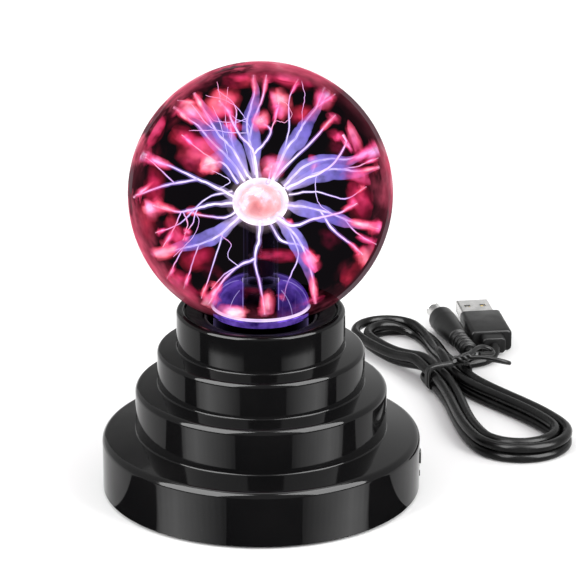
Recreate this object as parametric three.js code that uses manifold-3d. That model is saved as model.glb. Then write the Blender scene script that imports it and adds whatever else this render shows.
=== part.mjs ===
// A plasma ball: a glass globe on a stepped gloss-black base with the driver circuit inside it,
// and its USB lead lying unplugged beside it in a tied hank.
// Millimetres, +Z up. The origin is on the surface it stands on, below the globe's centre.
// The base's slide switch and DC socket face +X.
import * as THREE from 'three';
import { mergeVertices } from 'three/addons/utils/BufferGeometryUtils.js';
import Module from 'manifold-3d';

const wasm = await Module();
wasm.setup();

// ---------------------------------------------------------------- driving dimensions
const GAP = 0.3; // clearance between pieces that touch

// Base. Heights are above the housing's lower edge, which the feet hold off the table.
const FOOT_LIFT = 0.8;
const WALL = 2.2;
const TIERS = [
  { radius: 51.5, top: 17.9, ledgeRise: 1.7, edgeRadius: 2.4 },
  { radius: 40.6, top: 34.4, ledgeRise: 1.0, edgeRadius: 2.0 },
  { radius: 33.4, top: 47.1, ledgeRise: 0.9, edgeRadius: 1.6 },
  { radius: 27.1, top: 60.4, edgeRadius: 1.2 },
];
const LEDGE_FILLET = 0.5;

// Glass
const GLOBE_RADIUS = 41.9;
const GLOBE_CENTRE_Z = FOOT_LIFT + 98.8;
const GLASS_WALL = 1.3;
const NECK_RADIUS = 16.8;
const NECK_BOTTOM_Z = 53;
const STEM_RADIUS = 5.5;
const STEM_WALL = 1.1;
const DOME_RADIUS = 15.2;
const DOME_FOOT_Z = 61.5;
const DOME_HEIGHT = 9.4;
const BULB_RADIUS = 8.55;
const BULB_HALF_HEIGHT = 7.1;
const BULB_CENTRE_Z = 97;

// Switch and DC socket
const PORT_Z = 10.7;
const KNOB_TRAVEL = 4;
const KNOB_WIDTH = 2.8;
const SOCKET_Y = 12.5;
const SOCKET_FACE_X = 46;

// Circuit board
const BOARD_BOTTOM_Z = 4.4;
const BOARD_THICKNESS = 1.6;
const PARTS_Z = BOARD_BOTTOM_Z + BOARD_THICKNESS + GAP;
const TRANSFORMER_X = -6;
const SINK_HOLE_Z = 16.3; // above the board's parts

// USB lead, laid out about its tie: u runs along the hank towards the plugs, v across it
const CORD_DIAMETER = 3.4;
const TIE_X = 65;
const TIE_Y = 84;
const HANK_ANGLE = THREE.MathUtils.degToRad(113);
const HANK_HEIGHT = 8.2;
const WAIST_HALF_WIDTH = 7.3;
const UPPER_LOOP = { centre: 44, radius: 15.3 };
const LOWER_LOOP = { centre: -55, radius: 18 };

// ---------------------------------------------------------------- derived dimensions
const tierTop = (index) => FOOT_LIFT + TIERS[index].top;
const ledgeFoot = (index) => tierTop(index) + TIERS[index].ledgeRise;
const COLLAR = TIERS.length - 1;
const RIM_Z = tierTop(COLLAR);
const SEAT_BORE_RADIUS = TIERS[COLLAR].radius - 2.4;
const SHELF_Z = RIM_Z - 2.3;
const SHELF_HOLE_RADIUS = 21.5;
const COVER_BOTTOM_Z = FOOT_LIFT + 0.4;
const COVER_TOP_Z = COVER_BOTTOM_Z + 2.4;
const COVER_RADIUS = TIERS[0].radius - WALL - GAP;
const KNOB_SLOT_LENGTH = KNOB_TRAVEL + KNOB_WIDTH + 2 * 0.4;

// ---------------------------------------------------------------- materials
const finish = (color, roughness, metalness = 0) =>
  new THREE.MeshStandardMaterial({ color, roughness, metalness });

const GLOSS_BLACK = finish(0x0c0c0d, 0.08);
const MATT_BLACK = finish(0x2a2a2a, 0.6);
const RUBBER = finish(0x161616, 0.85);
const GLASS = finish(0xd8dcf5, 0.02);
GLASS.transparent = true;
GLASS.opacity = 0.35;
const STEEL = finish(0xb9bcc0, 0.3, 1);
const COPPER = finish(0xa8603a, 0.4, 1);
const BOARD_GREEN = finish(0x1f5b33, 0.5);
const FERRITE = finish(0x35353a, 0.7);
const TAPE = finish(0xd8b43a, 0.5);
const RESISTOR_TAN = finish(0xc9a878, 0.5);
const FILM_RED = finish(0x9b3a2a, 0.4);
const SLEEVE_BLUE = finish(0x22305c, 0.4);
const WHITE_PLASTIC = finish(0xd9d9d4, 0.5);
const LEAD_RED = finish(0xb02020, 0.5);
const SILICONE = finish(0xcfcfc8, 0.6);

// ---------------------------------------------------------------- geometry helpers

// Corners are [x, y, radius]; a corner with a radius becomes an arc that touches both its sides.
function filletOutline(corners, stepAngle = Math.PI / 6) {
  const outline = [];
  corners.forEach(([x, y, radius = 0], index) => {
    const corner = new THREE.Vector2(x, y);
    if (radius === 0) {
      outline.push(corner);
      return;
    }
    const previous = new THREE.Vector2(...corners.at(index - 1).slice(0, 2));
    const next = new THREE.Vector2(...corners[(index + 1) % corners.length].slice(0, 2));
    const toPrevious = previous.sub(corner).normalize();
    const toNext = next.sub(corner).normalize();
    const halfAngle = Math.acos(toPrevious.dot(toNext)) / 2;
    const bisector = toPrevious.clone().add(toNext).normalize();
    const centre = corner.clone().addScaledVector(bisector, radius / Math.sin(halfAngle));
    const start = corner.clone().addScaledVector(toPrevious, radius / Math.tan(halfAngle)).sub(centre);
    const sweep = (Math.PI - 2 * halfAngle) * Math.sign(toNext.cross(toPrevious));
    const steps = Math.max(1, Math.ceil(Math.abs(sweep) / stepAngle));
    for (let step = 0; step <= steps; step += 1) {
      const point = start.clone().rotateAround(new THREE.Vector2(), (sweep * step) / steps);
      outline.push(point.add(centre));
    }
  });
  return outline;
}

// Points of an ellipse in the radius-height plane; the angle is measured from straight down.
function ellipseArc(centreZ, halfWidth, halfHeight, fromAngle, toAngle, steps) {
  return Array.from({ length: steps + 1 }, (_, step) => {
    const angle = fromAngle + ((toAngle - fromAngle) * step) / steps;
    return new THREE.Vector2(halfWidth * Math.sin(angle), centreZ - halfHeight * Math.cos(angle));
  });
}

// Turns an outline of radius and height about Z. It starts and ends on the axis, or it is closed here.
function turned(outline, segments = 36) {
  const onAxis = outline[0].x < 1e-6 && outline.at(-1).x < 1e-6;
  const profile = onAxis ? outline : [...outline, outline[0]];
  return new THREE.LatheGeometry(profile, segments).rotateX(Math.PI / 2);
}

function turnedCorners(corners, segments) {
  return turned(filletOutline(corners), segments);
}

function cylinder(radius, bottom, top, segments = 20) {
  return turnedCorners([[0, bottom], [radius, bottom], [radius, top], [0, top]], segments);
}

function ring(innerRadius, outerRadius, bottom, top, segments = 24) {
  return turnedCorners(
    [[innerRadius, bottom], [outerRadius, bottom], [outerRadius, top], [innerRadius, top]], segments);
}

function block([x0, x1], [y0, y1], [z0, z1]) {
  return new THREE.BoxGeometry(x1 - x0, y1 - y0, z1 - z0)
    .translate((x0 + x1) / 2, (y0 + y1) / 2, (z0 + z1) / 2);
}

// A plate with the outline in X and Y, from one height to another.
function plate(corners, bottom, top) {
  const shape = new THREE.Shape(filletOutline(corners));
  return new THREE.ExtrudeGeometry(shape, { depth: top - bottom, bevelEnabled: false })
    .translate(0, 0, bottom);
}

function rectangle(halfX, halfY, radius = 0) {
  return [[-1, -1], [1, -1], [1, 1], [-1, 1]].map(([x, y]) => [x * halfX, y * halfY, radius]);
}

// A bar of rounded rectangular section that runs along X.
function barAlongX(from, to, halfY, halfZ, radius = 0) {
  return plate(rectangle(halfZ, halfY, radius), from, to).rotateY(Math.PI / 2);
}

// A round tube or wire that follows a smooth curve through the points.
function wireThrough(points, diameter, steps, sides = 8) {
  const radius = diameter / 2;
  const section = new THREE.Shape(
    Array.from({ length: sides }, (_, side) => {
      const angle = (2 * Math.PI * (side + 0.5)) / sides;
      return new THREE.Vector2(radius * Math.cos(angle), radius * Math.sin(angle));
    }));
  const curve = new THREE.CatmullRomCurve3(points);
  return new THREE.ExtrudeGeometry(section, { steps, bevelEnabled: false, extrudePath: curve });
}

function toSolid(geometry) {
  const bare = geometry.clone();
  bare.deleteAttribute('normal');
  bare.deleteAttribute('uv');
  const merged = mergeVertices(bare, 1e-5);
  const triangles = [];
  for (let i = 0; i < merged.index.count; i += 3) {
    const [a, b, c] = [merged.index.getX(i), merged.index.getX(i + 1), merged.index.getX(i + 2)];
    if (a !== b && b !== c && c !== a) triangles.push(a, b, c);
  }
  return new wasm.Manifold(new wasm.Mesh({
    numProp: 3,
    vertProperties: new Float32Array(merged.attributes.position.array),
    triVerts: new Uint32Array(triangles),
  }));
}

function toGeometry(solid) {
  const mesh = solid.getMesh();
  const geometry = new THREE.BufferGeometry();
  geometry.setAttribute('position', new THREE.BufferAttribute(new Float32Array(mesh.vertProperties), 3));
  geometry.setIndex(new THREE.BufferAttribute(new Uint32Array(mesh.triVerts), 1));
  geometry.computeVertexNormals();
  return geometry;
}

const join = (geometries) =>
  toGeometry(geometries.map(toSolid).reduce((whole, piece) => whole.add(piece)));

const cut = (geometry, holes) =>
  toGeometry(holes.map(toSolid).reduce((whole, hole) => whole.subtract(hole), toSolid(geometry)));

// ---------------------------------------------------------------- places
const atAngle = (degrees, radius) => {
  const angle = THREE.MathUtils.degToRad(degrees);
  return [radius * Math.cos(angle), radius * Math.sin(angle)];
};
const QUARTERS = [0, 90, 180, 270];
const FOOT_PLACES = QUARTERS.map((degrees) => atAngle(degrees, 38));
const COVER_SCREW_PLACES = QUARTERS.map((degrees) => atAngle(degrees + 45, 42.5));
const BOARD_SCREW_PLACES = [[-17.2, -16.5], [-17.2, 16.5], [38, -17]];

// A point of the hank's own u, v plane, on the table.
function hankPoint(u, v, z) {
  return new THREE.Vector3(u, v, z)
    .applyAxisAngle(new THREE.Vector3(0, 0, 1), HANK_ANGLE)
    .add(new THREE.Vector3(TIE_X, TIE_Y, 0));
}

// ---------------------------------------------------------------- the object
const plasmaBall = new THREE.Group();

function add(name, geometry, material, [x, y, z] = [0, 0, 0]) {
  const mesh = new THREE.Mesh(geometry, material);
  mesh.name = name;
  mesh.position.set(x, y, z);
  plasmaBall.add(mesh);
  return mesh;
}

// ---- base housing

function housingOutline() {
  const outside = [[TIERS[0].radius, FOOT_LIFT]];
  const inside = [[TIERS[0].radius - WALL, FOOT_LIFT]];
  for (let index = 0; index < COLLAR; index += 1) {
    const { radius, edgeRadius } = TIERS[index];
    const nextRadius = TIERS[index + 1].radius;
    outside.push([radius, tierTop(index), edgeRadius], [nextRadius, ledgeFoot(index), LEDGE_FILLET]);
    inside.unshift([nextRadius - WALL, ledgeFoot(index) - WALL], [radius - WALL, tierTop(index) - WALL]);
  }
  const rim = [
    [TIERS[COLLAR].radius, RIM_Z, TIERS[COLLAR].edgeRadius],
    [SEAT_BORE_RADIUS, RIM_Z, 0.5],
    [SEAT_BORE_RADIUS, SHELF_Z],
    [SHELF_HOLE_RADIUS, SHELF_Z],
    [SHELF_HOLE_RADIUS, SHELF_Z - WALL],
    [TIERS[COLLAR].radius - WALL, SHELF_Z - WALL],
  ];
  return [...outside, ...rim, ...inside];
}

// The recess, slot and socket hole in the wall of the lowest tier, each cut along X.
function portCutters() {
  const recess = barAlongX(50.4, 54, 5.6, 3.1, 2.6).translate(0, 0, PORT_Z);
  const slot = barAlongX(45, 54, KNOB_SLOT_LENGTH / 2, 1.6).translate(0, 0, PORT_Z);
  const socketHole = cylinder(5.2, 44, 54, 20).rotateY(Math.PI / 2).translate(0, SOCKET_Y, PORT_Z);
  return [recess, slot, socketHole];
}

// Two raised ticks under the switch, one for each place of the knob.
function positionTicks() {
  return [-1, 1].map((side) => {
    const y = (side * KNOB_TRAVEL) / 2;
    return block([50, TIERS[0].radius + 0.15], [y - 0.3, y + 0.3], [PORT_Z - 7, PORT_Z - 5]);
  });
}

function baseHousing() {
  const bosses = COVER_SCREW_PLACES.map(([x, y]) =>
    cylinder(3.4, COVER_TOP_Z + GAP, ledgeFoot(0) - 1.4, 12).translate(x, y, 0));
  const pilotHoles = COVER_SCREW_PLACES.map(([x, y]) =>
    cylinder(1.6, COVER_TOP_Z, 14, 8).translate(x, y, 0));
  const body = join([turnedCorners(housingOutline(), 40), ...bosses, ...positionTicks()]);
  return cut(body, [...pilotHoles, ...portCutters()]);
}

// ---- bottom cover, feet and screws

function bottomCover() {
  const posts = BOARD_SCREW_PLACES.map(([x, y]) =>
    cylinder(3, COVER_TOP_Z - 1, BOARD_BOTTOM_Z - GAP, 12).translate(x, y, 0));
  const body = join([cylinder(COVER_RADIUS, COVER_BOTTOM_Z, COVER_TOP_Z, 36), ...posts]);
  const below = COVER_BOTTOM_Z - 1;
  const holesAt = (places, hole) => places.map(([x, y]) => hole.clone().translate(x, y, 0));
  return cut(body, [
    ...holesAt(FOOT_PLACES, cylinder(5.4, below, COVER_BOTTOM_Z + 0.8, 16)),
    ...holesAt(COVER_SCREW_PLACES, cylinder(3.3, below, COVER_BOTTOM_Z + 1.4, 12)),
    ...holesAt(COVER_SCREW_PLACES, cylinder(1.6, below, COVER_TOP_Z + 1, 8)),
    ...holesAt(BOARD_SCREW_PLACES, cylinder(1.2, COVER_BOTTOM_Z + 1, 6, 8)),
  ]);
}

function rubberFoot() {
  return turnedCorners([[0, 0], [5, 0, 0.4], [5, COVER_BOTTOM_Z + 0.5], [0, COVER_BOTTOM_Z + 0.5]], 12);
}

// A screw with its head below, from z = 0 upwards, and a cross recess in the head.
function crossScrew(headRadius, headHeight, shankRadius, length) {
  const body = turnedCorners(
    [[0, 0], [headRadius, 0, 0.4], [headRadius, headHeight], [shankRadius, headHeight],
      [shankRadius, length - 0.6], [0, length]], 8);
  const arm = headRadius * 0.62;
  const recess = [
    block([-arm, arm], [-0.35, 0.35], [-1, headHeight * 0.6]),
    block([-0.35, 0.35], [-arm, arm], [-1, headHeight * 0.6]),
  ];
  return cut(body, recess);
}

// ---- globe, stem and electrode

function globe() {
  const innerRadius = GLOBE_RADIUS - GLASS_WALL;
  const neckInner = NECK_RADIUS - GLASS_WALL;
  const innerNeckAngle = Math.asin(neckInner / innerRadius);
  const outerNeckAngle = Math.asin(NECK_RADIUS / GLOBE_RADIUS);
  return turned([
    ...ellipseArc(GLOBE_CENTRE_Z, innerRadius, innerRadius, Math.PI, innerNeckAngle, 13),
    new THREE.Vector2(neckInner, NECK_BOTTOM_Z),
    new THREE.Vector2(NECK_RADIUS, NECK_BOTTOM_Z),
    ...ellipseArc(GLOBE_CENTRE_Z, GLOBE_RADIUS, GLOBE_RADIUS, outerNeckAngle, Math.PI, 14),
  ], 32);
}

// One side of the stem's glass, from its foot up to the bulb's top; inset is 0 on the gas side.
function stemSurface(inset) {
  const tube = STEM_RADIUS - inset;
  const bulbRadius = BULB_RADIUS - inset;
  const bulbHalfHeight = BULB_HALF_HEIGHT - inset;
  const foot = new THREE.Vector2(DOME_RADIUS - inset, NECK_BOTTOM_Z + 0.2);
  const dome = Array.from({ length: 7 }, (_, step) => {
    const angle = (Math.PI / 2) * (step / 6);
    const radius = tube + (DOME_RADIUS - STEM_RADIUS) * Math.cos(angle);
    return new THREE.Vector2(radius, DOME_FOOT_Z - inset + DOME_HEIGHT * Math.sin(angle));
  });
  const bulb =
    ellipseArc(BULB_CENTRE_Z, bulbRadius, bulbHalfHeight, Math.asin(tube / bulbRadius), Math.PI, 7);
  return [foot, ...dome, ...bulb];
}

function stem() {
  return turned([...stemSurface(STEM_WALL).reverse(), ...stemSurface(0)], 16);
}

function electrodeWool() {
  const inset = STEM_WALL + 0.35;
  return turned(ellipseArc(BULB_CENTRE_Z, BULB_RADIUS - inset, BULB_HALF_HEIGHT - inset, 0, Math.PI, 7), 12);
}

// A length of glass tube under the dome, pinched off at its lower end.
function exhaustTip() {
  return turnedCorners([[0, 54], [0.7, 54.4], [2.1, 57.5], [2.1, 66.6], [0, 66.6]], 10);
}

// ---- seat

function globeSeat() {
  const sleeveRadius = 18.6;
  const lipZ = RIM_Z - 0.5;
  return turnedCorners([
    [sleeveRadius, 50],
    [SHELF_HOLE_RADIUS - GAP, 50],
    [SHELF_HOLE_RADIUS - GAP, SHELF_Z + GAP],
    [SEAT_BORE_RADIUS - 0.5, SHELF_Z + GAP],
    [SEAT_BORE_RADIUS - 0.5, lipZ, 0.3],
    [SEAT_BORE_RADIUS - 1.1, lipZ, 0.3],
    [sleeveRadius, lipZ - 1.5],
  ], 32);
}

// ---- circuit board and what is on it

function circuitBoard() {
  const outline = [[-20, -20.5, 2], [46, -20.5, 8], [46, 20.5, 8], [-20, 20.5, 2]];
  const board = plate(outline, BOARD_BOTTOM_Z, BOARD_BOTTOM_Z + BOARD_THICKNESS);
  return cut(board, BOARD_SCREW_PLACES.map(([x, y]) => cylinder(1.3, 3, 8, 8).translate(x, y, 0)));
}

// One half of the ferrite core: a back with three legs that point up.
const CORE = { halfWidth: 12.5, outerLeg: 3.2, centreLeg: 6.4, back: 3.2, height: 9.85, depth: 6.5 };

function coreHalf() {
  const { halfWidth, outerLeg, centreLeg, back, height, depth } = CORE;
  const inner = halfWidth - outerLeg;
  const fromOutside = [
    [halfWidth, height], [inner, height], [inner, back], [centreLeg / 2, back], [centreLeg / 2, height],
  ];
  const mirrored = fromOutside.map(([x, z]) => [-x, z]).reverse();
  const outline = [[-halfWidth, 0], [halfWidth, 0], ...fromOutside, ...mirrored];
  return plate(outline, 0, depth).translate(0, 0, -depth / 2).rotateX(Math.PI / 2);
}

const BOBBIN = { bore: 4.9, tube: 5.6, flange: 9, bottom: 3.5, top: 16.5, divider: 7.9, thickness: 0.9 };

function bobbin() {
  const { bore, tube, flange, bottom, top, divider, thickness } = BOBBIN;
  return turnedCorners([
    [bore, bottom], [flange, bottom], [flange, bottom + thickness], [tube, bottom + thickness],
    [tube, divider], [flange, divider], [flange, divider + thickness], [tube, divider + thickness],
    [tube, top - thickness], [flange, top - thickness], [flange, top], [bore, top],
  ], 16);
}

// A winding between two of the bobbin's flanges.
function winding(outerRadius, bottom, top) {
  return ring(BOBBIN.tube + GAP, outerRadius, bottom + BOBBIN.thickness + GAP, top - GAP, 16);
}

function transistor() {
  const legs = [-2.54, 0, 2.54].map((x) => block([x - 0.4, x + 0.4], [1.4, 1.9], [0, 4.5]));
  const body = block([-5, 5], [0, 3.3], [4, 13]);
  const tab = block([-5, 5], [3, 4.4], [4, 19.5]);
  const hole = cylinder(1.7, 0, 8, 10).rotateX(-Math.PI / 2).translate(0, 0, SINK_HOLE_Z);
  return cut(join([tab, body, ...legs]), [hole]);
}

function heatSink() {
  const fin = { inside: 7, outside: 8.4, end: -4, back: 1.6 };
  const outline = [
    [-fin.inside, 0], [fin.inside, 0], [fin.inside, fin.end], [fin.outside, fin.end],
    [fin.outside, fin.back], [-fin.outside, fin.back], [-fin.outside, fin.end], [-fin.inside, fin.end],
  ];
  const hole = cylinder(1.6, -2, 4, 10).rotateX(-Math.PI / 2).translate(0, 0, SINK_HOLE_Z);
  return cut(plate(outline, 0, 20), [hole]);
}

function electrolyticCapacitor(radius, height) {
  const groove = 1.6;
  return turnedCorners([
    [0, 0], [radius - 0.4, 0, 0.3], [radius, 0.8], [radius, groove], [radius - 0.35, groove + 0.4],
    [radius, groove + 0.8], [radius, height - 0.5], [radius - 0.5, height], [radius - 1, height - 0.3],
    [0, height - 0.3],
  ], 12);
}

// An axial resistor that lies along X, its two leads bent down to the board.
function resistor() {
  const body = turnedCorners([
    [0, -3.2], [1.0, -3.2, 0.3], [1.2, -2.3], [0.95, -1.7],
    [0.95, 1.7], [1.2, 2.3], [1.0, 3.2, 0.3], [0, 3.2],
  ], 8).rotateY(Math.PI / 2).translate(0, 0, 2);
  const leads = [-1, 1].map((side) => {
    const points = [[side * 2.8, 2], [side * 4.4, 2], [side * 5, 1.4], [side * 5, 0]];
    return wireThrough(points.map(([x, z]) => new THREE.Vector3(x, 0, z)), 0.6, 5, 6);
  });
  return join([body, ...leads]);
}

// ---- switch and socket

function switchBody() {
  const body = block([43.4, 48.2], [-5, 5], [PARTS_Z, PORT_Z + 2.5]);
  const halfSlot = KNOB_SLOT_LENGTH / 2;
  const channel = block([45.6, 49], [-halfSlot, halfSlot], [PORT_Z - 1.7, PORT_Z + 1.7]);
  return cut(body, [channel]);
}

// The knob's stem runs in the switch body; its head is in the recess, with two grooves for the finger.
function switchKnob() {
  const half = KNOB_WIDTH / 2;
  const stemBar = block([46, 51], [-half, half], [-1.3, 1.3]);
  const head = block([50.7, 51.9], [-half, half], [-2.2, 2.2]);
  const grooves = [-0.6, 0.6].map((y) => block([51.5, 53], [y - 0.25, y + 0.25], [-3, 3]));
  return cut(join([stemBar, head]), grooves);
}

function socketHousing() {
  const body = barAlongX(32.6, SOCKET_FACE_X, 4.5, 4.4, 0.6);
  const bore = cylinder(3.1, 36, SOCKET_FACE_X + 1, 20).rotateY(Math.PI / 2);
  const pinHole = cylinder(1.3, 31, 37, 10).rotateY(Math.PI / 2);
  return cut(body, [bore, pinHole]);
}

function socketPin() {
  return turnedCorners([[0, 31.8], [1, 31.8], [1, 45, 0.4], [0, 45]], 12).rotateY(Math.PI / 2);
}

function socketContact() {
  const blade = block([30, 30.6], [-1.6, 1.6], [-4.4, 2.4]);
  const foot = block([30.5, 32.3], [-1.6, 1.6], [-4.4, -3.9]);
  return join([blade, foot]);
}

// ---- USB lead

// The outline of the hank from above: two round loops drawn in by the tie between them.
function hankOutline() {
  const shape = new THREE.Shape();
  const flare = 12;
  const upperSide = UPPER_LOOP.centre - flare;
  const lowerSide = LOWER_LOOP.centre + flare;
  const [upper, lower, waist] = [UPPER_LOOP.radius, LOWER_LOOP.radius, WAIST_HALF_WIDTH];
  shape.absarc(UPPER_LOOP.centre, 0, upper, -Math.PI / 2, Math.PI / 2);
  shape.bezierCurveTo(upperSide, upper, flare, waist, 0, waist);
  shape.bezierCurveTo(-flare, waist, lowerSide, lower, LOWER_LOOP.centre, lower);
  shape.absarc(LOWER_LOOP.centre, 0, lower, Math.PI / 2, (3 * Math.PI) / 2);
  shape.bezierCurveTo(lowerSide, -lower, -flare, -waist, 0, -waist);
  shape.bezierCurveTo(flare, -waist, upperSide, -upper, UPPER_LOOP.centre, -upper);
  return shape;
}

const TIE = { halfLength: 2, thickness: 1 };

function cordHank() {
  const depth = { depth: HANK_HEIGHT, bevelEnabled: false, curveSegments: 6 };
  const body = new THREE.ExtrudeGeometry(hankOutline(), depth);
  const width = WAIST_HALF_WIDTH + 5;
  const reach = TIE.halfLength + GAP;
  const groove = TIE.thickness + GAP;
  return cut(body, [
    block([-reach, reach], [-width, width], [-1, groove]),
    block([-reach, reach], [-width, width], [HANK_HEIGHT - 0.2, HANK_HEIGHT + 1]),
  ]);
}

// The tie's band round the hank's waist.
function hankTie() {
  const inner = rectangle(HANK_HEIGHT / 2 - 0.35, WAIST_HALF_WIDTH + GAP);
  const outer = rectangle(HANK_HEIGHT / 2 + 0.65, WAIST_HALF_WIDTH + GAP + TIE.thickness, 2);
  const band = cut(plate(outer, -TIE.halfLength, TIE.halfLength), [plate(inner, -5, 5)]);
  return band.rotateY(Math.PI / 2).translate(0, 0, HANK_HEIGHT / 2 + 0.65);
}

// Where the rear of each plug is on the table, as [u, v], and its sizes along its own length.
const DC_PLUG = {
  rear: [19, -17.3], turn: -8.5, axisZ: 4.8, ribs: 12, length: 34, tip: 43.5, radius: 4.75,
};
const USB_PLUG = {
  rear: [21, -28.5], turn: -15, axisZ: 4.1, boot: 5, length: 27, tip: 42.5, halfWidth: 7.5,
};

function ribbedOvermould() {
  const { ribs, length, radius } = DC_PLUG;
  const neckRadius = 2.5;
  const ribPitch = 2.8;
  const ribOutline = [0, 1, 2, 3].flatMap((index) => {
    const z = 0.6 + index * ribPitch;
    const ribRadius = neckRadius + 0.7;
    return [[neckRadius, z], [ribRadius, z + 0.3], [ribRadius, z + 1.5], [neckRadius, z + 1.8]];
  });
  return turnedCorners([
    [0, 0], [neckRadius, 0], ...ribOutline, [neckRadius, ribs], [3.6, ribs + 0.6, 0.5],
    [radius, length - 6], [radius, length, 0.6], [3.1, length], [3.1, length - 3], [0, length - 3],
  ], 12).rotateY(Math.PI / 2);
}

function dcBarrel() {
  const { length, tip } = DC_PLUG;
  return turnedCorners([
    [2.2, length - 2.7], [2.75, length - 2.7], [2.75, tip - 1.4], [2.55, tip - 1.1], [2.55, tip - 0.8],
    [2.75, tip - 0.6], [2.75, tip], [2.2, tip],
  ], 12).rotateY(Math.PI / 2);
}

function dcInsulator() {
  return ring(1.05, 1.9, DC_PLUG.length - 2.7, DC_PLUG.tip - 0.4, 12).rotateY(Math.PI / 2);
}

function usbOvermould() {
  const { boot, length, halfWidth } = USB_PLUG;
  const body = barAlongX(boot, length, halfWidth, 4, 1);
  const bootBar = barAlongX(0, boot + 1, 4.2, 3, 1);
  const pocket = barAlongX(length - 2.3, length + 1, 6 + GAP, 2.25 + GAP, 0.6);
  return cut(join([body, bootBar]), [pocket]);
}

// The folded steel shell of the plug, with two latch windows in each broad face.
function usbShell() {
  const { length, tip } = USB_PLUG;
  const outside = barAlongX(length - 2, tip, 6, 2.25, 0.5);
  const inside = barAlongX(length - 3, tip + 1, 5.65, 1.9, 0.3);
  const windows = [-2.9, 2.9].map((y) => block([tip - 7.4, tip - 5.2], [y - 1.1, y + 1.1], [-4, 4]));
  return cut(outside, [inside, ...windows]);
}

function usbTongue() {
  const { length, tip } = USB_PLUG;
  return block([length - 2, tip - 0.5], [-5.3, 5.3], [-1.55, 0.3]);
}

// The free stretches of cord, as [u, v, z], from each plug's rear to the side of the hank's waist.
const DC_LEAD = [
  [18.65, -17.25, 4.8], [15.5, -16.6, 5.2], [13, -15.4, 5.6], [11.3, -13.2, 5.9], [9.8, -10.8, 6.3],
];
const USB_LEAD = [
  [20.55, -28.38, 4.1], [18.5, -27.8, 3.7], [16.4, -26.2, 2.6], [14.6, -23, 1.9],
  [14, -19, 1.8], [14, -14, 1.8], [14, -10.6, 1.8],
];

// Sets a plug on the table, its local X running from its rear to its tip.
function addOnPlug(plug, name, geometry, material) {
  const rear = hankPoint(...plug.rear, plug.axisZ);
  const mesh = add(name, geometry, material, rear.toArray());
  mesh.rotation.z = HANK_ANGLE + THREE.MathUtils.degToRad(plug.turn);
}

function addInHankPlane(name, geometry, material) {
  const mesh = add(name, geometry, material, [TIE_X, TIE_Y, 0]);
  mesh.rotation.z = HANK_ANGLE;
}

// The free stretch of cord from a plug's rear into the waist of the hank.
function cordLead(route, steps) {
  return wireThrough(route.map((point) => hankPoint(...point)), CORD_DIAMETER, steps);
}

// The lead from the secondary winding up to the electrode rod.
function highVoltageLead() {
  const route = [
    [-6, -8.7, 18], [-6, -13, 18.6], [-7, -15, 28], [-6, -12, 40], [-3, -5, 50], [0, 0, 55.5], [0, 0, 58],
  ];
  return wireThrough(route.map((point) => new THREE.Vector3(...point)), 2.2, 16, 6);
}

// ---------------------------------------------------------------- assembly
const onBoard = (x, y, height = 0) => [x, y, PARTS_Z + height];
const atTransformer = onBoard(TRANSFORMER_X, 0);
const inSocket = [0, SOCKET_Y, PORT_Z];

add('base_housing', baseHousing(), GLOSS_BLACK);
add('bottom_cover', bottomCover(), MATT_BLACK);
FOOT_PLACES.forEach(([x, y], index) => {
  add(`rubber_foot_${index + 1}`, rubberFoot(), RUBBER, [x, y, 0]);
});
COVER_SCREW_PLACES.forEach(([x, y], index) => {
  add(`cover_screw_${index + 1}`, crossScrew(2.8, 1, 1.25, 9), STEEL, [x, y, COVER_BOTTOM_Z + 0.1]);
});

add('globe_seat', globeSeat(), MATT_BLACK);
add('seat_cushion_ring', ring(NECK_RADIUS + GAP, 18.3, 52, 58.6, 28), RUBBER);
add('glass_globe', globe(), GLASS);
add('glass_stem', stem(), GLASS);
add('exhaust_tip', exhaustTip(), GLASS, [9, 0, 0]);
add('electrode_wool', electrodeWool(), STEEL);
add('electrode_rod', cylinder(0.7, 58.3, BULB_CENTRE_Z - 6, 10), STEEL);
add('stem_bung', ring(1, STEM_RADIUS - STEM_WALL - GAP, 73, 79, 16), SILICONE);

add('circuit_board', circuitBoard(), BOARD_GREEN);
BOARD_SCREW_PLACES.forEach(([x, y], index) => {
  const screw = crossScrew(2.2, 1.3, 0.9, 5).rotateX(Math.PI);
  add(`board_screw_${index + 1}`, screw, STEEL, onBoard(x, y, 1.3));
});

const upperCore = coreHalf().rotateY(Math.PI).translate(0, 0, 2 * CORE.height + GAP);
const secondaryTop = BOBBIN.top - BOBBIN.thickness;
add('core_half_lower', coreHalf(), FERRITE, atTransformer);
add('core_half_upper', upperCore, FERRITE, atTransformer);
add('coil_bobbin', bobbin(), WHITE_PLASTIC, atTransformer);
add('primary_winding', winding(7.9, BOBBIN.bottom, BOBBIN.divider), COPPER, atTransformer);
add('secondary_winding', winding(8.3, BOBBIN.divider, secondaryTop), TAPE, atTransformer);
add('high_voltage_lead', highVoltageLead(), LEAD_RED);

const sinkScrew = crossScrew(2.6, 1.3, 1.3, 6).rotateX(-Math.PI / 2);
add('power_transistor', transistor(), MATT_BLACK, onBoard(TRANSFORMER_X, 11.9));
add('heat_sink', heatSink(), STEEL, onBoard(TRANSFORMER_X, 16.6));
add('heat_sink_screw', sinkScrew, STEEL, onBoard(TRANSFORMER_X, 13.3, SINK_HOLE_Z));
add('electrolytic_capacitor_1', electrolyticCapacitor(4, 12), SLEEVE_BLUE, onBoard(15, -12));
add('electrolytic_capacitor_2', electrolyticCapacitor(3.15, 11), SLEEVE_BLUE, onBoard(25, -13));
add('film_capacitor', plate(rectangle(6, 2.75, 0.8), 0, 9), FILM_RED, onBoard(18, 0));
add('resistor_1', resistor(), RESISTOR_TAN, onBoard(36, -8));
add('resistor_2', resistor(), RESISTOR_TAN, onBoard(18, 9));

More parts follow.
